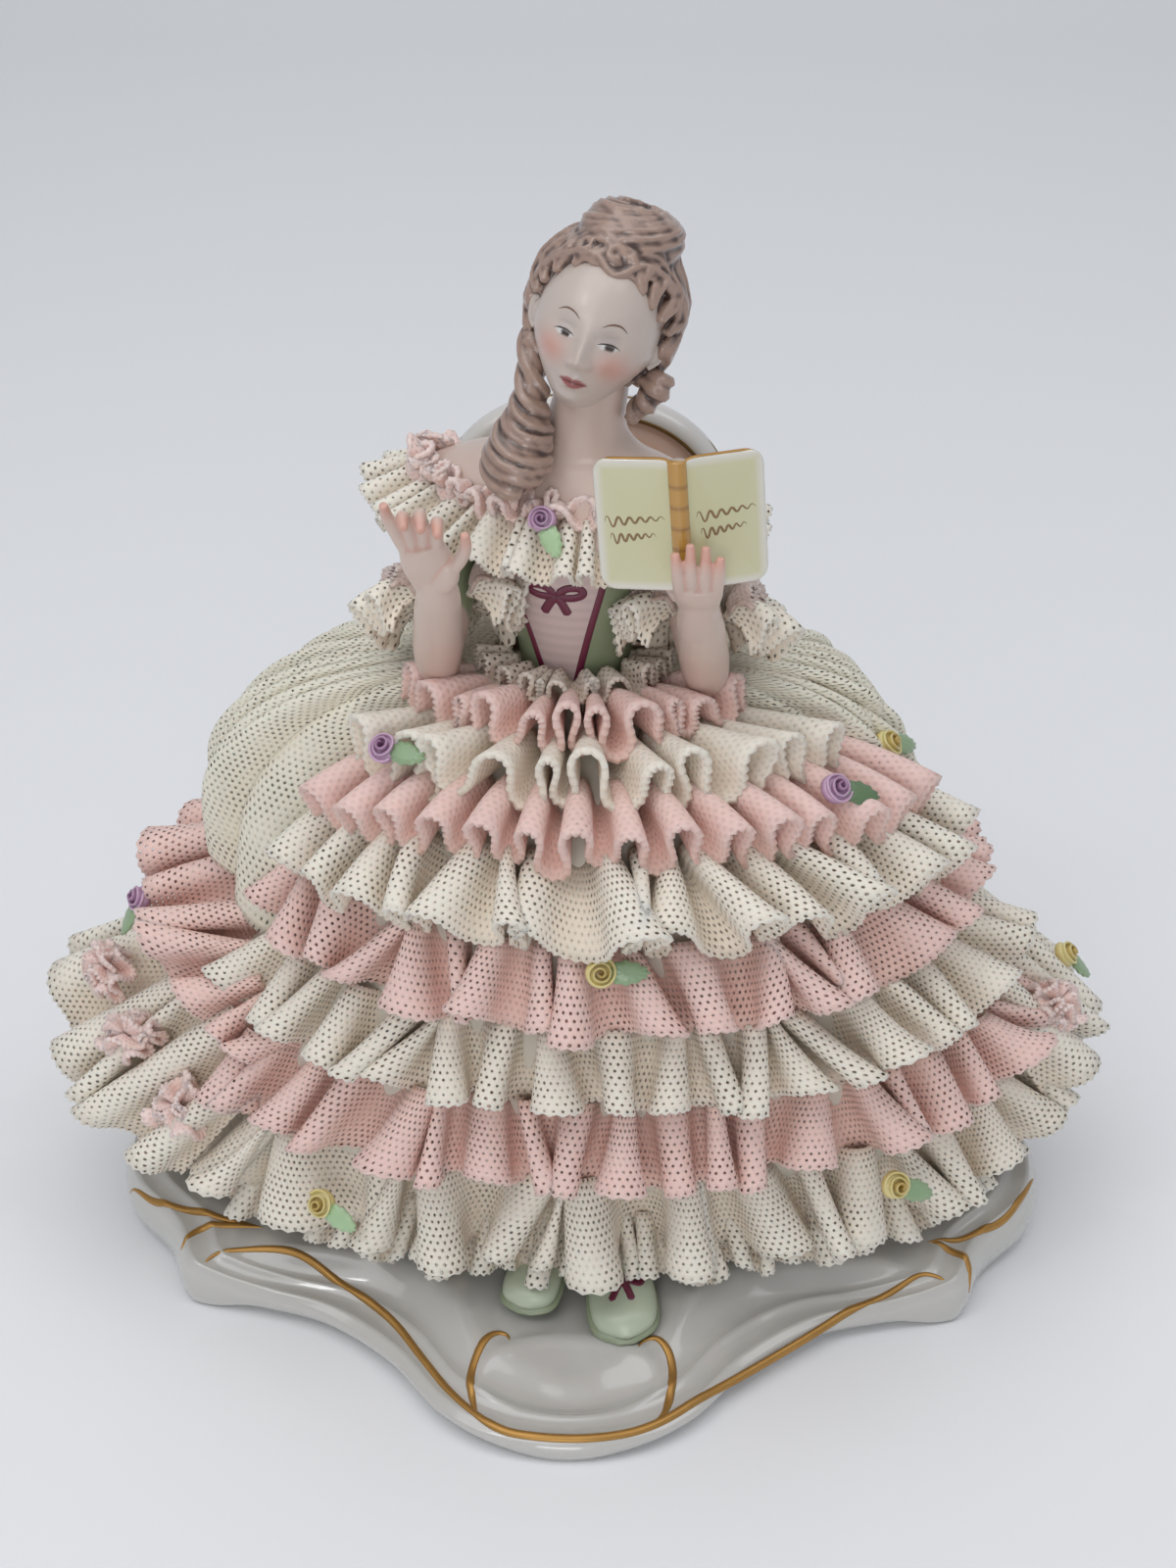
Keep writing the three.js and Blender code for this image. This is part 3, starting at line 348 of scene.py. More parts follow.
netGroup, toneGroup = makeNetGroup(), makeToneGroup()
laceFinish = {"roughness": 0.55, "coat": 0.0, "amount": 0.1, "scale": 140.0, "bump": 0.08, "soft": 0.5}
finishes = {  # amount and scale are of the mottling, bump is in millimetres, soft lets light into the clay
    "lace": {**laceFinish, "hole": 0.265, "filled": 0.2},
    "lapLace": {**laceFinish, "bump": 0.1, "hole": 0.2, "filled": 1.1},
    "drapeLace": {**laceFinish, "bump": 0.12, "hole": 0.27, "filled": 0.3, "soft": 0.4},
    "crumpledLace": {**laceFinish, "roughness": 0.5, "amount": 0.15, "scale": 420.0, "hole": 0.16,
                     "filled": 0.9, "pitch": 1.05},
    "skin": {"roughness": 0.4, "coat": 0.45, "coatRoughness": 0.18, "amount": 0.05, "scale": 120.0,
             "bump": 0.02, "soft": 0.25},
    "glaze": {"roughness": 0.22, "coat": 1.0, "amount": 0.03, "scale": 60.0, "bump": 0.03},
    "hair": {"roughness": 0.36, "coat": 0.7, "coatRoughness": 0.12, "amount": 0.4, "scale": 620.0,
             "bump": 0.14},
    "petal": {"roughness": 0.35, "coat": 0.4, "amount": 0.14, "scale": 500.0, "bump": 0.05, "soft": 0.2},
    "biscuit": {"roughness": 0.55, "coat": 0.1, "amount": 0.1, "scale": 150.0, "bump": 0.05},
    "gold": {"roughness": 0.4, "coat": 0.0, "amount": 0.35, "scale": 300.0, "bump": 0.02, "metal": 0.7},
}


def makeMaterial(name, look):
    material = bpy.data.materials.new(name)
    material.use_nodes = True
    tree = material.node_tree
    shader = tree.nodes["Principled BSDF"]

    def group(nodeTree, inputs):
        node = tree.nodes.new("ShaderNodeGroup")
        node.node_tree = nodeTree
        return fill(tree, node, inputs).outputs

    paint = put(tree, "VertexColor", layer_name="paint").outputs["Color"]
    tone = group(toneGroup, {"Amount": look["amount"], "Scale": look["scale"], "Color": paint})
    color, height = tone["Color"], tone["Relief"]
    if "hole" in look:
        place = put(tree, "UVMap", uv_map="lace").outputs[0]
        net = group(netGroup, {"Hole": look["hole"], "Pitch": look.get("pitch", netPitch),
                               "Filled": look["filled"], "Place": place})
        tree.links.new(net["Mask"], shader.inputs["Alpha"])
        height = net["Relief"]
        shade = put(tree, "MapRange", {"Value": height, "To Min": 0.9, "To Max": 1.0}).outputs[0]
        color = put(tree, "VectorMath", {0: color, "Scale": shade}, operation="SCALE").outputs[0]
    relief = put(tree, "Bump", {"Height": height, "Distance": look["bump"] * millimetre, "Strength": 1.0})
    fill(tree, shader, {
        "Base Color": color, "Normal": relief.outputs[0], "Roughness": look["roughness"],
        "Metallic": look.get("metal", 0.0), "Coat Weight": look["coat"],
        "Coat Roughness": look.get("coatRoughness", 0.06), "Subsurface Weight": look.get("soft", 0.0),
        "Subsurface Radius": (1.0, 0.8, 0.7), "Subsurface Scale": 1.4 * millimetre})
    return material


materials = {name: makeMaterial(name, look) for name, look in finishes.items()}


def addPiece(name, shape, finish, paint, node, uv=None):
    points, quads, triangles = shape
    mesh = bpy.data.meshes.new(name)
    loops = np.concatenate([quads.ravel(), triangles.ravel()])
    starts = np.concatenate([np.arange(len(quads)) * 4, quads.size + np.arange(len(triangles)) * 3])
    mesh.vertices.add(len(points))
    mesh.vertices.foreach_set("co", (points * millimetre).astype(np.float32).ravel())
    mesh.loops.add(len(loops))
    mesh.loops.foreach_set("vertex_index", loops.astype(np.int32))
    mesh.polygons.add(len(starts))
    mesh.polygons.foreach_set("loop_start", starts.astype(np.int32))
    mesh.update(calc_edges=True)
    if uv is not None:
        mesh.uv_layers.new(name="lace").data.foreach_set("uv", np.asarray(uv, np.float32).ravel())
    mesh.validate()
    mesh.polygons.foreach_set("use_smooth", np.ones(len(mesh.polygons), bool))
    piece = bpy.data.objects.new(name, mesh)
    bpy.context.scene.collection.objects.link(piece)
    paintPiece(piece, paint)
    mesh.materials.append(materials[finish])
    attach(piece, "root")
    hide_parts(node)
    return piece


def colorOf(paint):
    return np.asarray(linear(paint) if isinstance(paint, str) else paint)


def paintPiece(piece, paint):
    # paint is one colour, or a colour for each point
    colors = np.ones((len(piece.data.vertices), 4), np.float32)
    colors[:, :3] = colorOf(paint)
    layers = piece.data.color_attributes
    layer = layers.get("paint") or layers.new("paint", "FLOAT_COLOR", "POINT")
    layer.data.foreach_set("color", colors.ravel())


def readRows(items, label, width, kind=np.float32):
    flat = np.zeros(len(items) * width, kind)
    items.foreach_get(label, flat)
    return flat.reshape(-1, width)


def pointsOf(piece):
    return readRows(piece.data.vertices, "co", 3).astype(float) / millimetre


def hollows(piece, spread):
    # how deep each point lies in a groove, in millimetres
    points, edges = pointsOf(piece), piece.data.edges
    total = len(points)
    a, b = readRows(edges, "vertices", 2, np.int32).T
    count = np.bincount(a, minlength=total) + np.bincount(b, minlength=total)
    soft = points
    for _ in range(spread):
        sums = [np.bincount(a, values[b], total) + np.bincount(b, values[a], total) for values in soft.T]
        soft = np.stack(sums, 1) / np.maximum(count, 1)[:, None]
    return np.einsum("ij,ij->i", soft - points, readRows(piece.data.vertices, "normal", 3))


def fuse(piece, voxel, smoothing):
    # one skin over bodies that run into each other
    skin = piece.modifiers.new("skin", "REMESH")
    skin.mode, skin.voxel_size = "VOXEL", voxel * millimetre
    soften = piece.modifiers.new("soften", "SMOOTH")
    soften.factor, soften.iterations = 0.5, smoothing
    graph = bpy.context.evaluated_depsgraph_get()
    mesh = bpy.data.meshes.new_from_object(piece.evaluated_get(graph))
    mesh.name = piece.name
    piece.modifiers.clear()
    piece.data = mesh
    mesh.polygons.foreach_set("use_smooth", np.ones(len(mesh.polygons), bool))
    return piece


def mixColor(first, second, share):
    share = np.asarray(share)[..., None]
    return colorOf(first) * (1 - share) + colorOf(second) * share


def evenly(color, shape):
    return np.tile(colorOf(color), (len(shape[0]), 1))


print("shapes and materials ready")


# Lace: strips that swing from side to side, sampled evenly along their own length
foldBends = np.linspace(0, 2.2, 45)


def foldTable():
    theta = np.linspace(0, 2 * np.pi, 257)
    slope = foldBends[:, None] * np.sin(theta)

    def total(values):
        middle = (values[:, 1:] + values[:, :-1]) / 2 * theta[1]
        return np.concatenate([np.zeros((len(values), 1)), np.cumsum(middle, 1)], 1)

    along, out = total(np.cos(slope)), total(np.sin(slope))
    return along / along[:, -1:], (out - out[:, 128:129] / 2) / along[:, -1:]


foldAlong, foldOut = foldTable()


def foldAt(bend, turn):
    # how far along and how far out a fold is, in shares of its pitch
    row, column = np.clip(bend, 0, 2.15) / foldBends[1], turn % 1 * 256
    r, c = row.astype(int), column.astype(int)
    fr, fc = row - r, column - c

    def between(table, place):
        return table[place, c] * (1 - fc) + table[place, c + 1] * fc

    return [between(table, r) * (1 - fr) + between(table, r + 1) * fr for table in (foldAlong, foldOut)]


def ellipseAt(halfWidth, halfDepth, centreX, centreY, height):
    # points of a ring by angle: 0 faces the camera, 90 the viewer's right; sizes may depend on the angle
    def spot(angle):
        a = np.radians(angle)
        sizes = halfWidth, halfDepth, centreX, centreY, height
        across, deep, x, y, z = (size(angle) if callable(size) else size for size in sizes)
        return np.stack([x + across * np.sin(a), y - deep * np.cos(a), z + 0 * a], -1)
    return spot


# A strip between two rings. Its folds are a pitch apart and bend from gatherBend to bend. Uneven, lean and
# ragged loosen them, narrow opens or closes the near side, teeth is the depth of the notches in the hem
def ruffle(gatherAt, hemAt, start, end, pitch, bend, seed, rows=8, samples=34, belly=0.0, thickness=0.7,
           gatherBend=0.4, uneven=0.22, lean=0.3, power=0.8, ragged=0.05, teeth=0.55, narrow=0.0):
    closed = end - start > 359
    angles = np.linspace(start - 20, end + 20, 2401)
    length = lengthAlong(hemAt(angles))
    length -= np.interp(start, angles, length)
    folds = max(3, round(float(np.interp(end, angles, length)) / pitch))
    size = float(np.interp(end, angles, length)) / folds
    count = folds * samples
    turn = np.arange(count if closed else count + 1) / samples
    calm = np.clip(np.minimum(turn, folds - turn) / 1.5, 0, 1)
    v = np.linspace(0, 1, rows)[:, None]
    bends = (gatherBend + (bend - gatherBend) * v ** power) * (1 + calm * 0.09 * waver(seed, turn, 0.7))
    along, out = foldAt(bends, turn + 0 * v)
    along = along + narrow / (2 * np.pi) * np.sin(2 * np.pi * turn) * v
    sway = uneven * waver(seed + 1, turn, 0.5) + lean * (v - 0.4) * waver(seed + 2, turn, 0.45)
    angle = np.interp((np.floor(turn) + along + calm * sway) * size, length, angles)
    top, foot = gatherAt(angle), hemAt(angle)
    down = unitRows(foot - top)
    normal = unitRows(np.cross(down, hemAt(angle + 0.5) - hemAt(angle - 0.5)))
    height = np.linalg.norm(foot - top, axis=-1)
    notch = teeth * (np.arange(len(turn)) % 2)
    reach = v * (1 + calm * ragged * waver(seed + 3, turn, 0.8)) - (v == 1) * notch / height
    lift = size * out + belly * np.sin(np.pi * v)
    grid = top * (1 - reach[..., None]) + foot * reach[..., None] + normal * lift[..., None]
    # the flat place follows the strip's own length, a little above the hem
    line = grid[rows * 3 // 4]
    flat = lengthAlong(np.concatenate([line, line[:1]]) if closed else line)
    flat *= round(flat[-1] / netPitch) * netPitch / flat[-1]
    uv = np.stack([flat + 0 * v, (1 - v) * np.resize(height.mean(0), count + 1)], -1)
    uv[-1, :, 1] = np.resize(notch, count + 1)
    # painted shade: darker in the hollows of the folds and towards the gather, under the tier above; lighter
    # at the hem
    hollow = np.clip(0.5 - 0.9 * out / np.maximum(np.abs(out).max(), 1e-6) - 0.25 * (v - 0.6), 0, 1)
    return *thickSheet(grid, thickness, uv, closed), np.tile(hollow.ravel(), 2)


# The petticoat in rings: height, half width, half depth and centre
petticoat = np.array([
    [8, 74, 34, 2, 12], [20, 77, 37, 2, 12], [34, 81.5, 42.5, 2, 12], [57, 75, 43.8, 4, 12],
    [73, 62, 43.3, 6, 12], [90, 54.5, 41.5, 4.5, 12], [104, 45.5, 34, 3, 10.5], [113, 35, 24.5, 3, 10],
    [120, 16, 12, 0, 8], [123, 10, 8.5, -0.5, 7]])


def petticoatAt(height, extra=1.0):
    # the ring of the petticoat at a height, which may depend on the angle
    def column(index, more):
        def read(angle):
            level = height(angle) if callable(height) else height
            return np.interp(level, petticoat[:, 0], petticoat[:, index]) + more
        return read
    return ellipseAt(*(column(k, extra if k < 3 else 0.0) for k in (1, 2, 3, 4)), height)


pink, cream, drapeTone, greige = (linear(code) for code in ("#EDCEC6", "#EEE7DA", "#E9E4D3", "#D8CDC1"))
foldPoolingAndShade = np.array([0.95, 0.89, 0.84])  # fold hollows are darker and warmer: partly the colour pooling there, partly painted shade
lapLook = {"pitch": 9.0, "bend": 1.78, "gatherBend": 1.35, "power": 0.6, "thickness": 1.15,
           "finish": "lapLace", "samples": 32, "narrow": 0.1, "uneven": 0.12, "lean": 0.2}
skirtLook = {"pitch": 9.4, "bend": 1.82, "gatherBend": 1.35, "power": 0.9, "thickness": 0.85,
             "uneven": 0.36, "lean": 0.55, "ragged": 0.07, "narrow": -0.12}
# name, gathered at, hem height, half width and depth, centre, rise of the ends, from and to, colour, folds
tiers = [
    ("flounce_1", 120.4, 122.2, (33, 27), (0, 8), (0, 0), (-74, 68), pink,
     {**lapLook, "pitch": 7.2, "belly": 0.6}),
    ("flounce_2", 115.8, 116, (50, 35.5), (3, 9.5), (-2, -3), (-60, 64), cream, {**lapLook, "pitch": 9.4}),
    ("flounce_3", 110.6, 106.2, (61, 42), (5, 10), (-6, -6), (-62, 77), pink, {**lapLook, "belly": 1.0}),
    ("flounce_4", 102, 92, (66, 50.5), (6, 12), (-3, -2), (-66, 84), cream, {**skirtLook, "belly": 1.0}),
    ("flounce_5", 87.5, 73.5, (68, 50.5), (7, 12), (3, 5), (-75, 92), pink, skirtLook),
    ("flounce_6", 71, 57.3, (79, 51), (6, 12), (4, 6), (-72, 94), cream, skirtLook),
    ("flounce_7", 55, 40.5, (87, 52), (3, 12), (2, 6), (-59, 92), pink, skirtLook),
    ("flounce_8", 38.5, 20, (92, 48), (2, 12), (6.5, 6.5), (-180, 180), cream, {**skirtLook, "pitch": 10.2}),
    ("under_frill", 26, 14.4, (87.5, 46.6), (2, 12), (4, 4), (-180, 180), cream,
     {"pitch": 5.5, "bend": 1.7, "gatherBend": 1.2, "ragged": 0.12, "samples": 22}),
]


def addLace(node, sheet, color, finish="lace", slotName=None, part="Lace"):
    shape, uv, hollow = sheet
    # the hollows take the darker fold tone: partly pooled colour, partly painted shade
    paint = mixColor(color, np.array(color) * foldPoolingAndShade, hollow)
    slotName = slotName or ("pink_lace" if color is pink else "cream_lace")
    addPiece(node.replace("_", "") + part, shape, finish, paint, node, uv)


def addJoined(node, sheets, turn):
    # several crumpled strips as one piece, put in place by turn
    shape = join([sheet[0] for sheet in sheets])
    uv, hollow = (np.concatenate([sheet[k] for sheet in sheets]) for k in (1, 2))
    addLace(node, (turn(shape), uv, hollow), trimTone, "crumpledLace", "pink_lace")


def makeTier(seed, name, top, hem, half, centre, rise, span, color, look):
    def hemHeight(angle):
        side = np.sin(np.radians(angle))
        return hem + np.where(side < 0, rise[0], rise[1]) * np.abs(side) ** 3
    folds = {key: value for key, value in look.items() if key != "finish"}
    sheet = ruffle(petticoatAt(top), ellipseAt(*half, *centre, hemHeight), *span, seed=seed, **folds)
    addLace(name, sheet, color, look.get("finish", "lace"))


for i, tier in enumerate(tiers):
    makeTier(10 * i + 3, *tier)

# Long flounces round the sides and the back: angle, gathered at, hem height, half width of the hem
sideFlounce = np.array([
    [84, 83.5, 79, 74], [110, 83, 76, 77], [180, 83, 73, 82], [262, 80, 73, 84], [270, 77, 71, 84],
    [280, 71, 66, 84], [288, 66, 61.5, 84], [296, 64, 59, 84], [303, 60, 55, 83], [316, 57, 52, 83]])
train = np.array([
    [74, 62, 33, 99], [83, 66, 36, 100], [100, 71, 40, 102], [180, 74, 42, 100], [262, 68, 43, 105],
    [285, 61, 36, 105], [300, 56, 30, 105], [312, 52, 25.5, 104]])
trainLook = {**skirtLook, "pitch": 11.5, "bend": 1.6, "gatherBend": 1.1, "rows": 10}


def makeWrap(name, table, halfDepth, centreY, color, seed, look):
    def column(index):
        return lambda angle: np.interp(angle, table[:, 0], table[:, index])
    sheet = ruffle(petticoatAt(column(1)), ellipseAt(column(3), halfDepth, 0, centreY, column(2)),
                   table[0, 0], table[-1, 0], seed=seed, **look)
    addLace(name, sheet, color)


makeWrap("side_flounce", sideFlounce, 46, 12, pink, 211, {**skirtLook, "pitch": 9})
makeWrap("train", train, 53, 14, cream, 223, trainLook)

# Puffed overskirts over the hips: height, reach to the left and to the right, half depth and its centre
puff = np.array([
    [124.5, 15, 16, 12, 8], [123, 31, 36, 22, 9], [118, 48, 48, 34, 10], [109.5, 60, 54.5, 43, 11],
    [98.5, 67.5, 60, 48, 12], [84.5, 68.5, 64, 46.5, 12]])
drapeLook = {"columns": 164, "rows": 60, "folds": 10.5, "crossFolds": 15, "depth": 3.4, "crossing": 2.2,
             "ripple": 0.3, "thickness": 0.8}


def roundFold(phase):
    # round backs with sharp hollows between, from -1.1 to 0.9
    return 2 * np.abs(np.sin(phase)) ** 0.8 - 1.1


def makeOverskirt(name, span, tail, seed, look):
    u, v = np.linspace(0, 1, look["columns"]), np.linspace(0, 1, look["rows"])[:, None]
    frontTop, frontFoot, rear = span
    front = frontTop + (frontFoot - frontTop) * v
    angle = front + (rear - front) * u
    z, leftReach, rightReach, halfDepth, centreY = smoothPath(puff, look["rows"]).T[..., None]
    halfWidth = leftReach if rear < 0 else rightReach
    height = z - tail * bump(u, 0.16) * v ** 4
    swell = smoothStep(0, 0.35, v) * (1 - 0.35 * v)
    drift = 0.22 * waver(seed, u * 9 + v * 3, 0.3)
    wave = look["depth"] * roundFold(np.pi * (look["folds"] * u + 2 * drift) + 1.9 * v) * swell
    branch = smoothStep(-0.4, 0.7, waver(seed + 3, u * 7 - v * 2.5, 0.35))
    second = roundFold(np.pi * (look["crossFolds"] * u - 2 * drift) - 2.6 * v ** 1.4)
    wave = wave + look["crossing"] * branch * second * swell
    ripple = np.cos(2 * np.pi * 12 * u + 3 * waver(seed + 1, u * 10 + v * 2, 0.4))
    wave = wave + look["ripple"] * ripple * (0.35 + swell)
    inner = petticoatAt(lambda a: height, 1.5)(angle)
    outer = ellipseAt(halfWidth + wave, halfDepth + wave, 0, centreY, height)(angle)
    opened = np.sin(np.pi / 2 * np.clip(np.minimum(u / 0.2, (1 - u) / 0.1), 0, 1))[..., None]
    grid = inner * (1 - opened) + outer * opened
    # the flat place follows the cloth's own length, both ways
    along = np.linalg.norm(np.diff(grid, axis=1), axis=-1).cumsum(1)
    along = np.pad(along, ((0, 0), (1, 0))) - along[:, [look["columns"] * 3 // 10]]
    down = np.linalg.norm(np.diff(grid, axis=0), axis=-1).mean(1).cumsum()
    uv = np.stack([along, 0 * along + np.pad(down, (1, 0))[:, None] + 2], -1)
    # painted shade: the hollows of the drape folds are marked darker
    hollow = np.tile(np.clip(0.4 - wave / look["depth"] * 0.6, 0, 1).ravel(), 2)
    addLace(name, (*thickSheet(grid, look["thickness"], uv), hollow), drapeTone, "drapeLace")


makeOverskirt("overskirt_left", (-54, -70, -162), 16, 301, drapeLook)
makeOverskirt("overskirt_right", (52, 76, 162), 4, 311, drapeLook)


# Frills of the bodice, each on a tilted ring; the neckline sags down the back
def turned(turn, centre, spot):
    return lambda angle: spot(angle) @ turning(turn).T + np.array(centre, float)


def sagging(level, backDrop):
    return lambda angle: level - backDrop * smoothStep(95, 165, np.abs((angle + 180) % 360 - 180))


neckRing = {"centre": (-2.8, 10.2, 156.2), "turn": (12, 2, -14), "drop": 11}  # drop is how far it sags behind
sleeveRing = {"gather": (6.2, 6.4), "hem": (15, 13), "fall": -4.5, "span": (42, 318), "drop": 0}
sleeveLook = {"pitch": 5.0, "bend": 1.9, "gatherBend": 1.3, "uneven": 0.25, "ragged": 0.15, "samples": 28,
              "thickness": 0.7, "belly": 1.6, "power": 0.6}
frills = [
    ("neck_frill", {**neckRing, "gather": (25.6, 12.2), "hem": (36, 21.5), "fall": -5.5, "span": (-180, 180)},
     cream, {"pitch": 5.6, "bend": 1.55, "gatherBend": 1.1, "samples": 26}),
    ("sleeve_frill_left", {**sleeveRing, "centre": (-22.6, 3.2, 137.6), "turn": (-34, -5, 0)},
     cream, sleeveLook),
    ("sleeve_frill_right", {**sleeveRing, "centre": (21.4, 0.2, 137), "turn": (-26, 4, 0)},
     cream, sleeveLook),
    ("waist_frill", {"centre": (-0.5, 7, 125.6), "gather": (11.6, 10.6), "hem": (18.5, 17.5), "fall": 0.6,
                     "turn": (3, 0, 0), "span": (-80, 80), "drop": 0}, greige,
     {"pitch": 4.2, "bend": 1.7, "gatherBend": 1.3, "samples": 24, "uneven": 0.4, "thickness": 0.8}),
]
innerFrill = {"color": linear("#D3C2BC"), "wider": (5.5, 4.5), "rise": 2.5, "pitch": 4.2, "bend": 1.8}


def ringAt(ring, half, level):
    return turned(ring["turn"], ring["centre"], ellipseAt(*half, 0, 0, sagging(level, ring["drop"])))


def makeFrill(index, name, ring, color, look):
    gatherAt, hemAt = ringAt(ring, ring["gather"], 0), ringAt(ring, ring["hem"], ring["fall"])
    sheet = ruffle(gatherAt, hemAt, *ring["span"], seed=400 + 10 * index, **look)
    addLace(name, sheet, color, slotName="cream_lace")
    if look is not sleeveLook:
        return
    innerHem = ringAt(ring, np.add(ring["gather"], innerFrill["wider"]), innerFrill["rise"])
    folds = {**look, "pitch": innerFrill["pitch"], "bend": innerFrill["bend"]}
    inner = ruffle(gatherAt, innerHem, *ring["span"], seed=450 + index, **folds)
    addLace(name, inner, innerFrill["color"], "crumpledLace", "cream_lace", "Inner")


for i, frill in enumerate(frills):
    makeFrill(i, *frill)

trimTone = linear("#F3DAD4")
trimLook = {"half": (24.6, 11.2), "lift": 1.6, "edges": [(0.9, 2.5), (3.1, 0.4)], "span": (-176, 176)}
trimFolds = {"pitch": 4.4, "bend": 1.7, "gatherBend": 1.4, "rows": 7, "samples": 22, "thickness": 1.0,
             "uneven": 0.5, "ragged": 0.25, "teeth": 0.3}


def makeNeckTrim(look, ring):
    # a strip ruched along its middle: one edge stands up, the other lies out over the frill
    middle = ringAt(ring, look["half"], look["lift"])
    edges = [ringAt(ring, np.add(look["half"], out), look["lift"] + rise) for out, rise in look["edges"]]
    sheets = [ruffle(middle, edge, *look["span"], seed=510 + k, **trimFolds) for k, edge in enumerate(edges)]
    addJoined("neck_trim", sheets, lambda shape: shape)


makeNeckTrim(trimLook, neckRing)

# place and outward direction
bows = [((-93, 8, 53.5), (-0.45, -0.35, 0.8)), ((-86, -6, 47.5), (-0.4, -0.5, 0.75)),
        ((-75, -17, 39.5), (-0.4, -0.6, 0.7)), ((92, 6, 51), (0.5, -0.4, 0.75))]
bowLayers = [(6.8, -0.8, 0.4), (4.6, 0.4, 2.0)]  # half width, height of the middle and rise to the edge
bowFolds = {"pitch": 5.6, "bend": 1.65, "gatherBend": 0.9, "rows": 7, "samples": 24, "thickness": 0.9,
            "uneven": 0.6, "ragged": 0.25}


def facing(out, spin):
    # turns z towards a direction and keeps x level
    z = Vector(out).normalized()
    x = Vector((0, 0, 1)).cross(z).normalized()
    a = math.radians(spin)
    spun = np.array([[math.cos(a), -math.sin(a), 0], [math.sin(a), math.cos(a), 0], [0, 0, 1]])
    return np.array([x, z.cross(x), z]).T @ spun


def placeFacing(shape, place, out, spin):
    return shape[0] @ facing(out, spin).T + np.array(place, float), *shape[1:]


def makeBow(index, place, out):
    sheets = []
    for k, (half, level, rise) in enumerate(bowLayers):
        rings = ellipseAt(1.2, 0.8, 0, 0, level), ellipseAt(half, half * 0.75, 0, 0, level + rise)
        sheets.append(ruffle(*rings, -180, 180, seed=600 + 10 * index + k, **bowFolds))
    addJoined(f"lace_bow_{index + 1}", sheets, lambda shape: placeFacing(shape, place, out, index * 40))


for i, bow in enumerate(bows):
    makeBow(i, *bow)

print("lace made")


# Strokes of paint or gold, laid on a surface along a path
def surfaceOf(piece):
    piece.data.calc_loop_triangles()
    triangles = readRows(piece.data.loop_triangles, "vertices", 3, np.int32)
    return BVHTree.FromPolygons(pointsOf(piece).tolist(), triangles.tolist())


def evenLine(line, steps):
    length = lengthAlong(line)
    places = np.linspace(0, length[-1], steps)
    return np.stack([np.interp(places, length, line[:, axis]) for axis in range(3)], 1)


def eased(values):
    for _ in range(4):
        middle = (values[:-2] + 2 * values[1:-1] + values[2:]) / 4
        values = np.concatenate([values[:1], middle, values[-1:]])
    return values


def stroke(tree, path, width, direction, height, ends, steps):
    # direction is the way to look at the surface; ends is the share of the length that tapers
    look = Vector(direction)
    hits = []
    for point in evenLine(smoothPath(path, 4 * steps), steps):
        hit, normal, _, _ = tree.ray_cast(Vector(point) - look * 40, look)
        if hit is not None:
            hits.append((hit, -normal if normal.dot(look) > 0 else normal))
    spots, normals = (eased(np.array(values)) for values in zip(*hits))
    normals = unitRows(normals)
    side = unitRows(np.cross(directions(spots), normals))
    share = np.linspace(0, 1, len(spots))
    taper = np.minimum(1, np.minimum(share, 1 - share) / ends) ** 0.6 + 0.02
    a = circle(8)[:, None]
    reach = (width / 2 * taper)[:, None, None]
    lift = (height * np.minimum(1, taper + 0.2))[:, None, None]
    return loft(spots[:, None] + reach * np.cos(a) * side[:, None] + lift * np.sin(a) * normals[:, None])


def bowPaths(middle, up, paths):
    # both halves of a painted bow; each path gives places to the side and upwards
    middle, up = np.array(middle), np.array(up)
    return [[middle + (side * out, 0, 0) + up * rise for out, rise in path]
            for side in (-1, 1) for path in paths]


# Base: the outline from front to back as shares of the half width and of the front or back depth
baseLook = {"halfWidth": 92.5, "front": 66.5, "back": 65, "plate": 11, "sideRim": 13, "frontRim": 4.8,
            "arch": 2.4, "columns": 420, "color": "#C2C0BB", "gold": "#B58A4C", "goldWidth": 1.6,
            "dish": {"centre": (0.5, -52.5), "size": (16, 10), "depth": 1.6, "lip": 0.6}}
baseOutline = [
    (0, -1), (0.14, -0.965), (0.25, -0.87), (0.36, -0.69), (0.5, -0.545), (0.64, -0.48), (0.765, -0.44),
    (0.815, -0.4), (0.86, -0.26), (0.965, -0.1), (1, 0.08), (0.985, 0.26), (0.91, 0.42), (0.83, 0.5),
    (0.79, 0.6), (0.64, 0.7), (0.46, 0.8), (0.25, 0.95), (0, 1)]


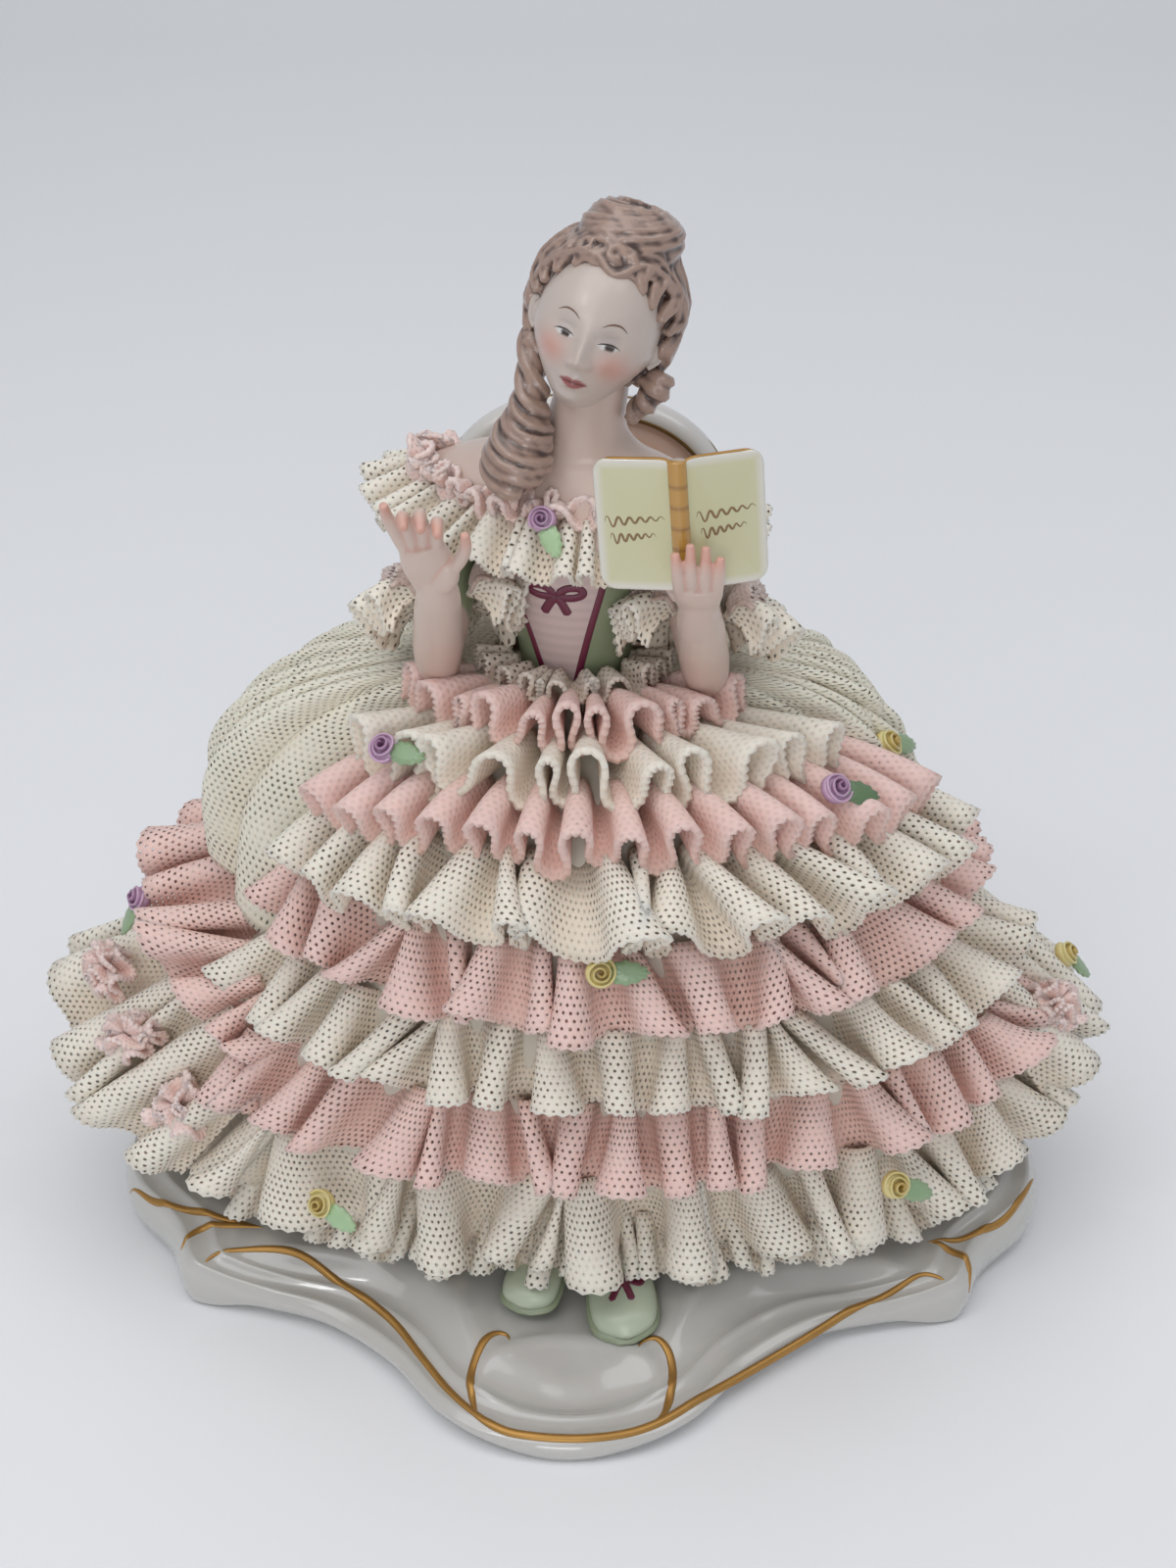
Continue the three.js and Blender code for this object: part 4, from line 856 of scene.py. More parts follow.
def makeBase(look):
    half = [(x * look["halfWidth"], y * look["front" if y < 0 else "back"], 0) for x, y in baseOutline]
    outline = smoothPath(half + [(-x, y, z) for x, y, z in half[-2:0:-1]], look["columns"], True)[:, :2]
    share = np.abs(outline[:, 0]) / look["halfWidth"]
    corner = look["frontRim"] * 0.75 + look["sideRim"] * 0.25
    low = look["frontRim"] + (corner - look["frontRim"]) * smoothStep(0.1, 0.7, share)
    rim = low + (look["sideRim"] - low) * smoothStep(0.62, 0.98, share)
    arch = look["arch"] * (1 - np.clip(bump(share - 0.79, 0.08) + bump(share, 0.14), 0, 1))
    plate = look["plate"] + (rim + 1.5 - look["plate"]) * smoothStep(45, 64, -outline[:, 1]) * 0.8
    rings = [(8, 0 * rim), (1.6, arch), (0.5, arch * 0.9 + rim * 0.1), (0, arch * 0.6 + rim * 0.42),
             (0.25, arch * 0.3 + rim * 0.68), (0.9, rim * 0.86), (1.7, rim * 0.94)]
    for inset in np.concatenate([np.arange(2.2, 8, 0.6), np.arange(8, 26, 1.0)]):
        band = rim - 0.5 * np.sin(np.pi * np.clip((inset - 2.2) / 5.4, 0, 1)) + 0.45 * bump(inset - 7.6, 1.2)
        rings.append((inset, band + (plate - band) * smoothStep(8, 18, inset)))
    rings += [(40, plate), (60, 0 * plate + look["plate"])]
    reach = np.linalg.norm(outline, axis=1)
    dish = look["dish"]
    shapes = []
    for k, (inset, height) in enumerate(rings):
        flat = outline * (np.maximum(reach - inset, 4) / reach)[:, None]
        away = np.linalg.norm((flat - dish["centre"]) / dish["size"], axis=1)
        hollow = dish["lip"] * bump(away - 1.02, 0.14) - dish["depth"] * smoothStep(1, 0.3, away)
        shapes.append(np.column_stack([flat, height + hollow * (k > 0 and inset > 7.5)]))
    tree = surfaceOf(addPiece("basePorcelain", loft(shapes), "glaze", look["color"], "base"))
    front = [(-71.8, -29.5), (-71.6, -27.9), (-67.5, -24.4), (-54.2, -24), (-44, -29.1), (-33.7, -37.2),
             (-27.2, -46), (-21, -54.4), (-13.1, -62), (-6.1, -64.2), (2.6, -64.6), (11.2, -63),
             (18.2, -59.5), (27, -52), (39.9, -41.4), (51.3, -33), (62.9, -27.2), (68, -25.5), (73, -28.2)]
    branches = [
        [(-11, -43.8), (-11.6, -42.1), (-14, -42.2), (-16.4, -45.6), (-17.7, -51.9), (-15.8, -60.2)],
        [(12.9, -45), (13.5, -43.3), (16, -42.6), (18.6, -45.4), (19.2, -50.6), (17.8, -57.9), (15.2, -61.6)],
        [(-90.5, -4.8), (-83.1, -11.9), (-74.8, -14.5), (-60.6, -18.3)],
        [(-76, -23.1), (-73, -18.8), (-66.5, -17.7), (-61, -18.2)],
        [(91.2, 1.6), (87.7, -5.9), (83.1, -11.9), (75.9, -16.4), (68.2, -18)],
        [(69.1, -18), (75.3, -21.9), (75.5, -28.7)]]
    lines = []
    for path, ends, steps in [(front, 0.12, 160)] + [(path, 0.3, 60) for path in branches]:
        line = [(x, y, 0) for x, y in path]
        lines.append(stroke(tree, line, look["goldWidth"], (0, 0, -1), 0.45, ends, steps))
    addPiece("baseGold", join(lines), "gold", look["gold"], "base")


makeBase(baseLook)
print("base made")

# The lady: bodice, arms, hands, petticoat and shoes
ladyLook = {"skin": "#D0BBAF", "face": "#C8BAB1", "blush": "#D08A78", "fingertip": "#D48F7B",
            "bodice": "#8B9678", "stomacher": "#D6C0BC", "maroon": "#6B1E3C", "shoe": "#B9C3AC",
            "sole": "#8F9A7E", "petticoat": "#D8D2C4"}
# The bust in rings: height, half width, half depth and centre
torso = np.array([
    [116, 11, 9.5, -0.5, 7.5], [122.5, 9.8, 8.6, -0.5, 7], [128, 10.6, 9, -0.6, 7],
    [136, 13, 10.4, -0.8, 7.5], [144, 15.3, 12, -1, 8], [149, 17, 12.2, -1.4, 8.7],
    [152, 21.4, 11.8, -2, 9.6], [155, 25, 11.6, -2.6, 10.3], [158, 24.4, 10.8, -2.4, 10.6],
    [160.5, 19, 9.4, -1.6, 10.4], [162.6, 13, 7.8, -0.6, 9.8], [165.5, 8.6, 6.8, 0.5, 8.9],
    [169, 6.8, 6.2, 1.4, 8.1], [174, 6.2, 5.9, 2.4, 7.2], [180, 5.6, 5.4, 3.4, 6]])


arms = [  # shoulder, elbow and wrist
    ((-20.5, 14, 152), (-24, -3.5, 128.4), (-22.3, -16, 147)),
    ((17, 6, 152), (22.5, -5, 127.6), (20.8, -20, 146))]


def between(start, end, share):
    return [a + (b - a) * share for a, b in zip(start, end)]


def makeBodice(look):
    a = circle(72)
    turn = math.radians(-14)  # she turns a little to the viewer's left
    c, s = math.cos(turn), math.sin(turn)
    rings = []
    for z, halfWidth, halfDepth, centreX, centreY in smoothPath(torso, 70):
        bust = 1.6 * bump(z - 150.5, 5) * sum(bump(a - side, 0.42) for side in (0.55, 2 * np.pi - 0.55))
        x, y = (halfWidth + bust) * np.sin(a), -(halfDepth + bust) * np.cos(a)
        rings.append(np.stack([centreX + x * c - y * s, centreY + x * s + y * c, 0 * a + z], -1))
    shapes = [loft(rings)]
    for shoulder, elbow, wrist in arms:
        shapes.append(sweep([shoulder, between(shoulder, elbow, 0.5), elbow], [5.2, 5, 4.1], 24, 26))
        forearm = [between(elbow, wrist, t) for t in (-0.14, 0.1, 0.35, 0.75, 1)]
        shapes.append(sweep(forearm, [3.8, 4.3, 4.3, 4.0, 3.3], 24, 40))
    piece = addPiece("ladyBody", join(shapes), "skin", (1, 1, 1), "lady")
    fuse(piece, 0.6, 4)
    x, y, z = pointsOf(piece).T
    front = smoothStep(2.0, 0.5, y)
    left = np.interp(z, [118, 124, 143.7, 150], [-4, -5.7, -12.1, -14])
    right = np.interp(z, [118, 124.1, 142.1, 150], [-1, 0.3, 4.6, 6])
    panel = smoothStep(0, 0.4, x - left) * smoothStep(0, 0.4, right - x) * front
    # bands of painted shade stand for the ruching across the stomacher
    ruchingShade = 0.94 + 0.06 * np.cos(2 * np.pi * z / 1.9)
    cloth = mixColor(look["bodice"], colorOf(look["stomacher"]) * ruchingShade[:, None], panel)
    chest = smoothStep(150, 151.2, z - 0.1 * y)
    forearm = smoothStep(0.6, -0.6, y + 0.35 * (z - 134)) * smoothStep(15.5, 16.5, np.abs(x))
    blushing = 0.55 * smoothStep(142, 150, z) * smoothStep(-8, -14, y) + 0.3 * bump(z - 131, 5) * forearm
    color = mixColor(cloth, look["skin"], np.maximum(chest, forearm))
    paintPiece(piece, mixColor(color, look["fingertip"], 0.45 * blushing))
    tree = surfaceOf(piece)
    edges = [[(-14, 0, 149), (-12.1, 0, 143.7), (-8.8, 0, 134), (-5.7, 0, 124), (-4, 0, 119)],
             [(6, 0, 149), (4.6, 0, 142.1), (2.3, 0, 133), (0.3, 0, 124.1), (-0.8, 0, 119)]]
    bow = bowPaths((-3.4, 0, 140.4), (0, 0, 1), [
        [(0, 0), (1.8, 1.6), (4.2, 1.7), (4.6, 0.4), (2.4, -0.3), (0, 0)],
        [(0, 0), (1.1, -1.6), (2.2, -3.8)]])
    widths = [1.25, 1.25] + [1.5, 1.6] * 2
    strokes = [stroke(tree, path, width, (0, 1, 0), 0.16, 0.1, 44)
               for path, width in zip(edges + bow, widths)]
    addPiece("bodicePaint", join(strokes), "skin", look["maroon"], "lady")


def finger(points, radius):
    return sweep(points, [radius, radius * 1.02, radius * 0.92, radius * 0.66], 16, 30)


leftFingers = [  # from the palm to the tip, the thumb last
    [(-26.6, -19.4, 155.4), (-28.2, -20.6, 159.4), (-29.3, -21.8, 162.6), (-29.6, -23.6, 165.4)],
    [(-25.6, -19.8, 156.5), (-26.5, -20.8, 160.8), (-26.6, -23.6, 163.4), (-26.2, -26.4, 162.4)],
    [(-23.8, -20, 157), (-24, -20.9, 161.4), (-23.8, -24, 163.9), (-23.4, -27, 162.2)],
    [(-21.9, -20, 156.4), (-21.4, -21.2, 160.4), (-21.1, -24, 162.6), (-20.8, -26.6, 161.2)],
    [(-20.2, -19, 151.4), (-18, -20, 154.4), (-16.9, -21.4, 157.4), (-16.9, -22.8, 160.2)]]


def rightFinger(side, reach):
    # behind the book, with the tip showing over its back
    return [(20.4 + side * 0.86, -26.2, 152), (20.4 + side * 0.95, -28.8, 154.8),
            (20.3 + side * 1.04, -30.2, 158), (20.2 + side * 1.12, -30.2, 161.4 + reach)]


def makeHands(look):
    left = [sweep([(-22.7, -11.5, 139.8), (-22.4, -14, 144), (-22.4, -16.2, 147.6), (-22.9, -17.8, 151)],
                  [3.6, 3.8, 3.5, 2.6], 28, 30),
            sweep([(-22.4, -14.5, 144.5), (-22.4, -16.2, 147.5), (-22.9, -17.7, 150.8), (-23.6, -18.9, 154),
                   (-24.4, -19.6, 156.8)], [2.2, 3.4, 4.0, 4.3, 3.7], 28, 30, 0.62, (1, 0.1, 0)),
            ball((-20.6, -19.2, 151), (2.3, 1.9, 3.4), (14, 20, 0))]
    left += [finger(points, 1.15) for points in leftFingers]
    right = [sweep([(21.2, -13.5, 138), (20.9, -17.4, 142.6), (20.8, -20.8, 146.8), (20.6, -24, 150.4)],
                   [3.5, 3.7, 3.4, 2.6], 28, 30),
             sweep([(20.9, -18.6, 144), (20.8, -21.2, 147), (20.6, -23.8, 150), (20.5, -26, 152.4),
                    (20.4, -27.8, 154.6)], [2.2, 3.1, 3.7, 4.0, 3.6], 28, 30, 0.62, (1, 0, 0))]
    rightFingers = [rightFinger(*place) for place in ((-3.2, -0.6), (-1.1, 0.9), (1.1, 0.6), (3.2, -1.2))]
    right += [finger(points, 1.08) for points in rightFingers]
    thumb = [(17.4, -22.6, 149.4), (15.8, -21.6, 152), (15.4, -20.8, 155.2), (15.6, -21, 158)]
    right.append(finger(thumb, 1.1))
    for name, shapes, fingers in (("leftHand", left, leftFingers), ("rightHand", right, rightFingers)):
        piece = addPiece(name, join(shapes), "skin", (1, 1, 1), "lady")
        fuse(piece, 0.27, 6)
        points = pointsOf(piece)
        near = sum(bump(np.linalg.norm(points - np.array(path[-1]), axis=1), 2.6) for path in fingers)
        # painted shade: the hollows between the fingers take some of the fingertip pink
        hollow = np.clip(hollows(piece, 8) * 14, 0, 1)
        color = mixColor(look["skin"], look["fingertip"], np.clip(near, 0, 1) * 0.6)
        color = mixColor(color, look["fingertip"], hollow * 0.35 * smoothStep(148, 153, points[:, 2]))
        paintPiece(piece, color)


def makePetticoat(look):
    a = np.arange(144) * 2.5
    rings = [petticoatAt(z, 0.0)(a) for z in np.linspace(8, 123, 60)]
    addPiece("petticoatShell", loft(rings), "biscuit", look["petticoat"], "lady")


def makeShoes(look):
    # blunt flat shoes: the path from the ankle to the toe, and the half width along it
    paths = [([(7.2, -20, 15.8), (8.6, -29, 13.6), (9.8, -37, 11.6), (10.5, -42, 10.4), (10.8, -44.6, 9.9)],
              [3.6, 5.4, 6.3, 5.2, 1.0]),
             ([(-4.5, -19, 15.8), (-6, -27, 13.8), (-7.4, -33.5, 12.2), (-8.2, -37, 11.4), (-8.6, -38.6, 11)],
              [3.4, 4.8, 5.4, 4.4, 1.0])]
    shapes, tones = [], []
    for path, radii in paths:
        upper = sweep(path, radii, 40, 50, 0.5)
        sole = sweep([(x, y - 0.2, z - 1.5) for x, y, z in path], [r + 0.5 for r in radii], 40, 50, 0.2)
        shapes += [upper, sole]
        tones += [evenly(look["shoe"], upper), evenly(look["sole"], sole)]
    piece = addPiece("shoes", join(shapes), "skin", np.vstack(tones), "lady")
    bow = bowPaths((9.6, -35, 0), (0, 1, 0), [
        [(0, 0), (1.6, 1.5), (3.3, 1.2), (3.2, -0.6), (0, 0)], [(0, 0), (1.1, -2.2), (2.0, -4.4)]])
    tree = surfaceOf(piece)
    strokes = [stroke(tree, path, 1.4, (0, 0, -1), 0.16, 0.1, 40) for path in bow]
    addPiece("shoeBow", join(strokes), "skin", look["maroon"], "lady")


makeBodice(ladyLook)
makeHands(ladyLook)
makePetticoat(ladyLook)
makeShoes(ladyLook)
print("figure made")

# Head and hair, in the head's own measure: x to the viewer's right, y to the back, the middle at 0
headLook = {"centre": (3.4, 4.3, 185.6), "scale": 1.1, "turn": (-9, 17, -10), "columns": 176, "rows": 120}
faceLook = {"lip": "#96393A", "lipLine": "#5A1E20", "lid": "#A79D9C", "white": "#D6D4D2", "iris": "#3A2C28",
            "brow": "#7C5F4E", "lash": "#382B29"}
# the darker tone paints the strands and also the shade in the grooves
hairLook = {"light": "#A3887A", "dark": "#453029"}
# The shape of the hair in rings: height, half width, half depth and centre
hairRings = np.array([
    [-8, 7.6, 7.4, 0, 5], [-4, 9.7, 9.4, 0, 4], [0, 10.4, 10.2, 0, 3.2], [4, 10.6, 10.4, 0, 3],
    [7, 10.1, 10, 0, 3], [9.5, 8.8, 9, 0, 2.8], [11.6, 7.2, 7.6, 0.1, 2.6], [13, 6.6, 6.8, 0.2, 2.4],
    [15, 6.6, 6.5, 0.5, 2.2], [16.8, 5.4, 5.4, 0.8, 2], [18, 3.2, 3.4, 0.8, 2]])


def headPlace(points):
    points = np.asarray(points, float) * headLook["scale"]
    return points @ turning(headLook["turn"]).T + np.array(headLook["centre"])


noseHeights = [-5.6, -4.8, -4.2, -3.4, -2.4, -0.8, 1.2, 3.5, 5]
noseDepths = [0, 0.25, 1.6, 2.35, 2.0, 1.3, 0.75, 0.12, 0]


def spotAt(across, height, halfWidth, halfHeight):
    # 1 at a place of the face, fading to 0 around it
    return np.exp(-(across / halfWidth) ** 2 - (height / halfHeight) ** 2)


def headSurface(n):
    jaw = smoothStep(0.05, 0.95, -n[..., 2])
    x, z = n[..., 0] * 9.4 * (1 - 0.28 * jaw), n[..., 2] * 12.6
    y = n[..., 1] * 11 - np.where(n[..., 1] > 0, 4.5 * jaw * n[..., 1], 0)
    front, side = np.clip(-1.6 * n[..., 1], 0, 1), np.abs(x)
    ridge = bump(x, 1.25 - 0.1 * z.clip(-4, 0) + 0.4 * z.clip(-1, 4))
    relief = np.interp(z, noseHeights, noseDepths) * ridge  # nose
    relief = relief + 0.8 * spotAt(side - 1.3, z + 3.8, 0.6, 0.65)
    relief = relief + 0.55 * spotAt(x, z + 6.4, 1.9, 0.55) + 0.7 * spotAt(x, z + 7.45, 1.5, 0.6)  # lips
    relief = relief - 0.35 * spotAt(x, z + 6.9, 2.1, 0.22) - 0.3 * spotAt(x, z + 8.7, 2, 0.7)
    relief = relief + 1.2 * spotAt(x, z + 10, 3.4, 1.8)  # chin
    relief = relief + 0.5 * spotAt(side - 4.8, z + 3.2, 2.4, 2.2)  # cheeks
    relief = relief - 0.95 * spotAt(side - 3.5, z - 0.4, 2.1, 1.6)  # eye sockets
    relief = relief + 0.85 * spotAt(side - 3.4, z + 0.05, 1.5, 0.95)  # eyes
    lidFold = z - 1.15 + 0.16 * (side - 3.4) ** 2
    relief = relief - 0.15 * spotAt(side - 3.4, lidFold, 1.6, 0.22)
    return np.stack([x, y - front * relief, z], -1)


def band(value, low, high, soft):
    # 1 between two limits, with soft edges
    return smoothStep(-soft, soft, high - value) * smoothStep(-soft, soft, value - low)


def paintFace(x, z, front, face):
    # the paint of the face: front is 1 on the face and 0 behind
    side = np.abs(x)
    color = mixColor(ladyLook["face"], ladyLook["blush"], 0.62 * spotAt(side - 5, z + 3.3, 2.6, 2.3) * front)
    across = np.clip(1 - ((side - 3.4) / 1.65) ** 2, 0, 1)
    color = mixColor(color, face["lid"], 0.55 * bump(z - 0.55, 0.75) * across * front)
    eye = band(z, -0.15 - 0.6 * across, -0.15 + 0.36 * across, 0.12) * (across > 0.02) * front
    color = mixColor(color, face["white"], eye)
    gaze = np.hypot(x - np.where(x < 0, -3.15, 3.65), z + 0.18)
    color = mixColor(color, face["iris"], eye * smoothStep(0.78, 0.6, gaze))
    mouth = np.clip(1 - (x / 2.25) ** 2, 0, 1)
    top = -6.9 + 0.75 * mouth - 0.3 * bump(x, 0.35)
    lips = band(z, -6.9 - 1.0 * mouth ** 1.4, top, 0.15) * (mouth > 0) * front
    color = mixColor(color, face["lip"], 0.85 * lips)
    return mixColor(color, face["lipLine"], 0.7 * lips * bump(z + 6.92 + 0.12 * bump(x, 0.6), 0.14))


browPath = [(1.7, 2.35), (2.8, 3.05), (4.2, 3.15), (5.4, 2.35)]
lashPath = [(1.75, -0.2), (2.5, 0.12), (3.4, 0.24), (4.4, 0.1), (5.2, -0.3)]


def makeHead(look, face):
    t = circle(look["columns"])
    a = t - 0.45 * np.sin(t)  # closer together at the face
    fall = np.linspace(0.02, np.pi - 0.02, look["rows"])[:, None]
    n = np.stack([np.sin(fall) * np.sin(a), -np.sin(fall) * np.cos(a), np.cos(fall) + 0 * a], -1)
    local = headSurface(n)
    color = paintFace(local[..., 0].ravel(), local[..., 2].ravel(), (n[..., 1].ravel() < 0.1) * 1.0, face)
    shape = loft(local)
    shape = headPlace(shape[0]), *shape[1:]
    tree = surfaceOf(addPiece("ladyHead", shape, "skin", np.vstack([color, color[:2]]), "lady"))
    forward = headPlace((0, 1, 0)) - headPlace((0, 0, 0))
    forward = Vector(forward).normalized()
    marks, tones = [], []
    for side in (-1, 1):
        for path, width, tone in ((browPath, 0.34, "brow"), (lashPath, 0.3, "lash")):
            mark = stroke(tree, headPlace([(side * x, 0, z) for x, z in path]), width, forward, 0.06, 0.4, 30)
            marks.append(mark)
            tones.append(evenly(face[tone], mark))
    addPiece("facePaint", join(marks), "skin", np.vstack(tones), "lady")
    rims = [[(s * 9.0, 0.4, -3.4), (s * 9.9, 1.2, -2.0), (s * 10.3, 1.6, 0.2), (s * 9.6, 0.6, 1.2)]
            for s in (-1, 1)]
    ears = [sweep(headPlace(rim), [0.5, 0.75, 0.8, 0.4], 14, 20) for rim in rims]
    ears += [ball(headPlace((s * 9.2, 1.0, -1.2)), (1.1, 1.3, 2.6), (0, 17, -12)) for s in (-1, 1)]
    addPiece("ears", join(ears), "skin", ladyLook["face"], "lady")


def onHair(turn, height, more):
    # a place on the hair: the turn from the face towards the viewer's right in degrees, the height,
    # and how far above the hair's own shape
    halfWidth, halfDepth, x, y = (np.interp(height, hairRings[:, 0], hairRings[:, k]) for k in range(1, 5))
    a = np.radians(turn)
    across, deep = (halfWidth + more) * np.sin(a), (halfDepth + more) * np.cos(a)
    return np.stack([x + across, y - deep, height + 0 * a], -1)


def strand(turns, heights, radii, seed, more, sway):
    # one wavy strand that lies on the hair
    t = np.linspace(0, 1, 24)
    wave = 2 * np.pi * (1.3 * t + 0.17 * seed)
    turn = smoothValues(turns, 24) + sway * np.sin(wave)
    height = smoothValues(heights, 24) + 0.1 * sway * np.cos(wave)
    line = headPlace(onHair(turn, height, more))
    return sweep(line, radii, 20, 60, 0.75, grooves=5, grooveDepth=0.13, twist=6)


def ringlet(path, widths, strands, turns):
    # strands wound about a path, in millimetres
    t = np.linspace(0, 1, 60)
    line, width = smoothPath(path, 60), smoothValues(widths, 60)
    shapes = [sweep(path, [0.7 * w for w in widths], 16, 50)]
    for k in range(strands):
        a = 2 * np.pi * (turns * t + k / strands)
        winding = line + (0.58 * width)[:, None] * np.stack([np.cos(a), np.sin(a), 0.15 * np.sin(a)], -1)
        shapes.append(sweep(winding[::3], 0.46 * width[::6], 30, 110, 0.8,
                            grooves=7, grooveDepth=0.08, twist=12))
    return shapes


def makeHair(look):
    heights = np.concatenate([np.linspace(-8, 16.8, 40), [17.4, 17.8, 18]])
    crown = loft(onHair(np.degrees(circle(96))[None, :], heights[:, None], -0.5))
    shapes = [(headPlace(crown[0]), *crown[1:])]
    for k in range(15):  # swept up from the hairline
        turn = -104 + 208 * k / 14
        low = 9.8 - 13.4 * abs(turn / 104) ** 1.7
        shapes.append(strand([turn, turn * 1.08, turn * 1.1, turn * 1.3], [low, low + 2.6, 10.8, 12.6],
                             [0.8, 1.8, 1.7, 0.8], k * 0.9, 0.5 * (1 - abs(turn) / 130), 4.5))
    turns = [-86, -62, -38, -14, 6, 28, 50, 72, 88]
    rise = [2.4, 7.6, 10.6, 10.9, 9.4, 11.1, 10.3, 7.4, 2.6]
    radii = [0.9, 1.4, 1.7, 1.5, 1.3, 1.6, 1.6, 1.3, 0.9]
    for k in range(3):  # waves along the hairline, with a dip over the brow
        heights = [z + 1.5 * k * (1 if abs(turn) < 60 else 0.5) for turn, z in zip(turns, rise)]
        shapes.append(strand(turns, heights, radii, 2 * k, 0.35 - 0.2 * k, 2.5))
    for k in range(17):  # up from the nape
        turn = 108 + 144 * k / 16
        turns = [turn, turn, turn + 4, turn]
        shapes.append(strand(turns, [-8.5, -2, 6, 12.4], [1.2, 1.5, 1.4, 0.9], k, 0.1, 4))
    for side in (-1, 1):  # loose curls beside the temples
        for k in range(3):
            turn = side * (84 + 9 * k)
            turns = [turn + swing * side for swing in (0, 9, -2, 8, 0)]
            heights = [z - k for z in (6, 3.2, 0.4, -2.6, -5.4)]
            shapes.append(strand(turns, heights, [0.9, 1.6, 1.7, 1.6, 0.9], 1.3 * k, 0.4, 5))
    for k in range(9):  # the bun, wound round and round
        turns = [40 * k + more for more in (0, 70, 150, 250)]
        shapes.append(strand(turns, [12.4, 14.4, 16.6, 18.2], [1.0, 1.5, 1.4, 0.9], k, 0.1, 2))
    # a lock round the foot of the bun
    shapes.append(strand([-60, -20, 30, 80], [12.6, 13.2, 12.4, 12.8], [0.8, 1.5, 1.5, 0.8], 4, 0.5, 4))
    shapes += ringlet([headPlace((-9.2, 3, -5)), (-7.6, 4, 174.5), (-8.6, 2, 169), (-10, -0.6, 164.2),
                       (-10.2, -3.2, 160.4)], [2.6, 3.2, 4.9, 6.2, 3.4], 3, 2.6)
    shapes += ringlet([headPlace((9.2, 3, -5)), (13.6, 3.4, 176), (11.2, 3.6, 172.6), (8.8, 4, 169.4)],
                      [2.4, 2.9, 2.5, 1.3], 2, 2)
    piece = addPiece("hair", join(shapes), "hair", (1, 1, 1), "lady")
    fuse(piece, 0.28, 2)
    x, y, z = pointsOf(piece).T
    streaks = waver(77, x * 1.3 + 0.9 * z + 0.4 * y, 0.5)
    # painted shade: the grooves are painted towards the darker tone; the streaks are painted strands
    tone = np.clip(0.3 + hollows(piece, 12) * 6 + 0.22 * streaks, 0, 1)
    paintPiece(piece, mixColor(look["light"], look["dark"], tone))


makeHead(headLook, faceLook)
makeHair(hairLook)
print("head and hair made")


# Book, held open with its back to the camera
bookLook = {"foot": (18.4, -26.6, 152.4), "height": 22, "reach": 14, "cover": 1.2, "pages": 1.6, "sweep": 14,
            "lean": -4, "roll": -4.5, "coverTone": "#C9C59C", "edgeTone": "#D9D5CA", "pageTone": "#DDDAD0",
            "spineTone": "#B98A3C", "bandTone": "#7E5526", "ink": "#8A6B45"}


def roundSlab(width, depth, height, corner, edge):
    # a standing slab: x from 0 to width, y from 0 to depth, z from 0 to height, corners and edges rounded
    quarter = np.linspace(0, np.pi / 2, 7)
    rings = []
    profile = [(edge * (1 - math.cos(lean)), depth / 2 * (1 + math.sin(lean)))
               for lean in np.linspace(-np.pi / 2, np.pi / 2, 9)]
    for inset, y in [(edge + 1.2, 0), (edge + 0.1, 0), *profile, (edge + 0.1, depth), (edge + 1.2, depth)]:
        r = max(corner - inset, 0.05)
        near, right, top = inset + r, width - inset - r, height - inset - r
        ring = []
        for k, (x, z) in enumerate(((right, top), (near, top), (near, near), (right, near))):
            turn = quarter + k * np.pi / 2
            ring.append(np.stack([x + r * np.cos(turn), 0 * turn + y, z + r * np.sin(turn)], -1))
        rings.append(np.vstack(ring))
    return loft(rings)


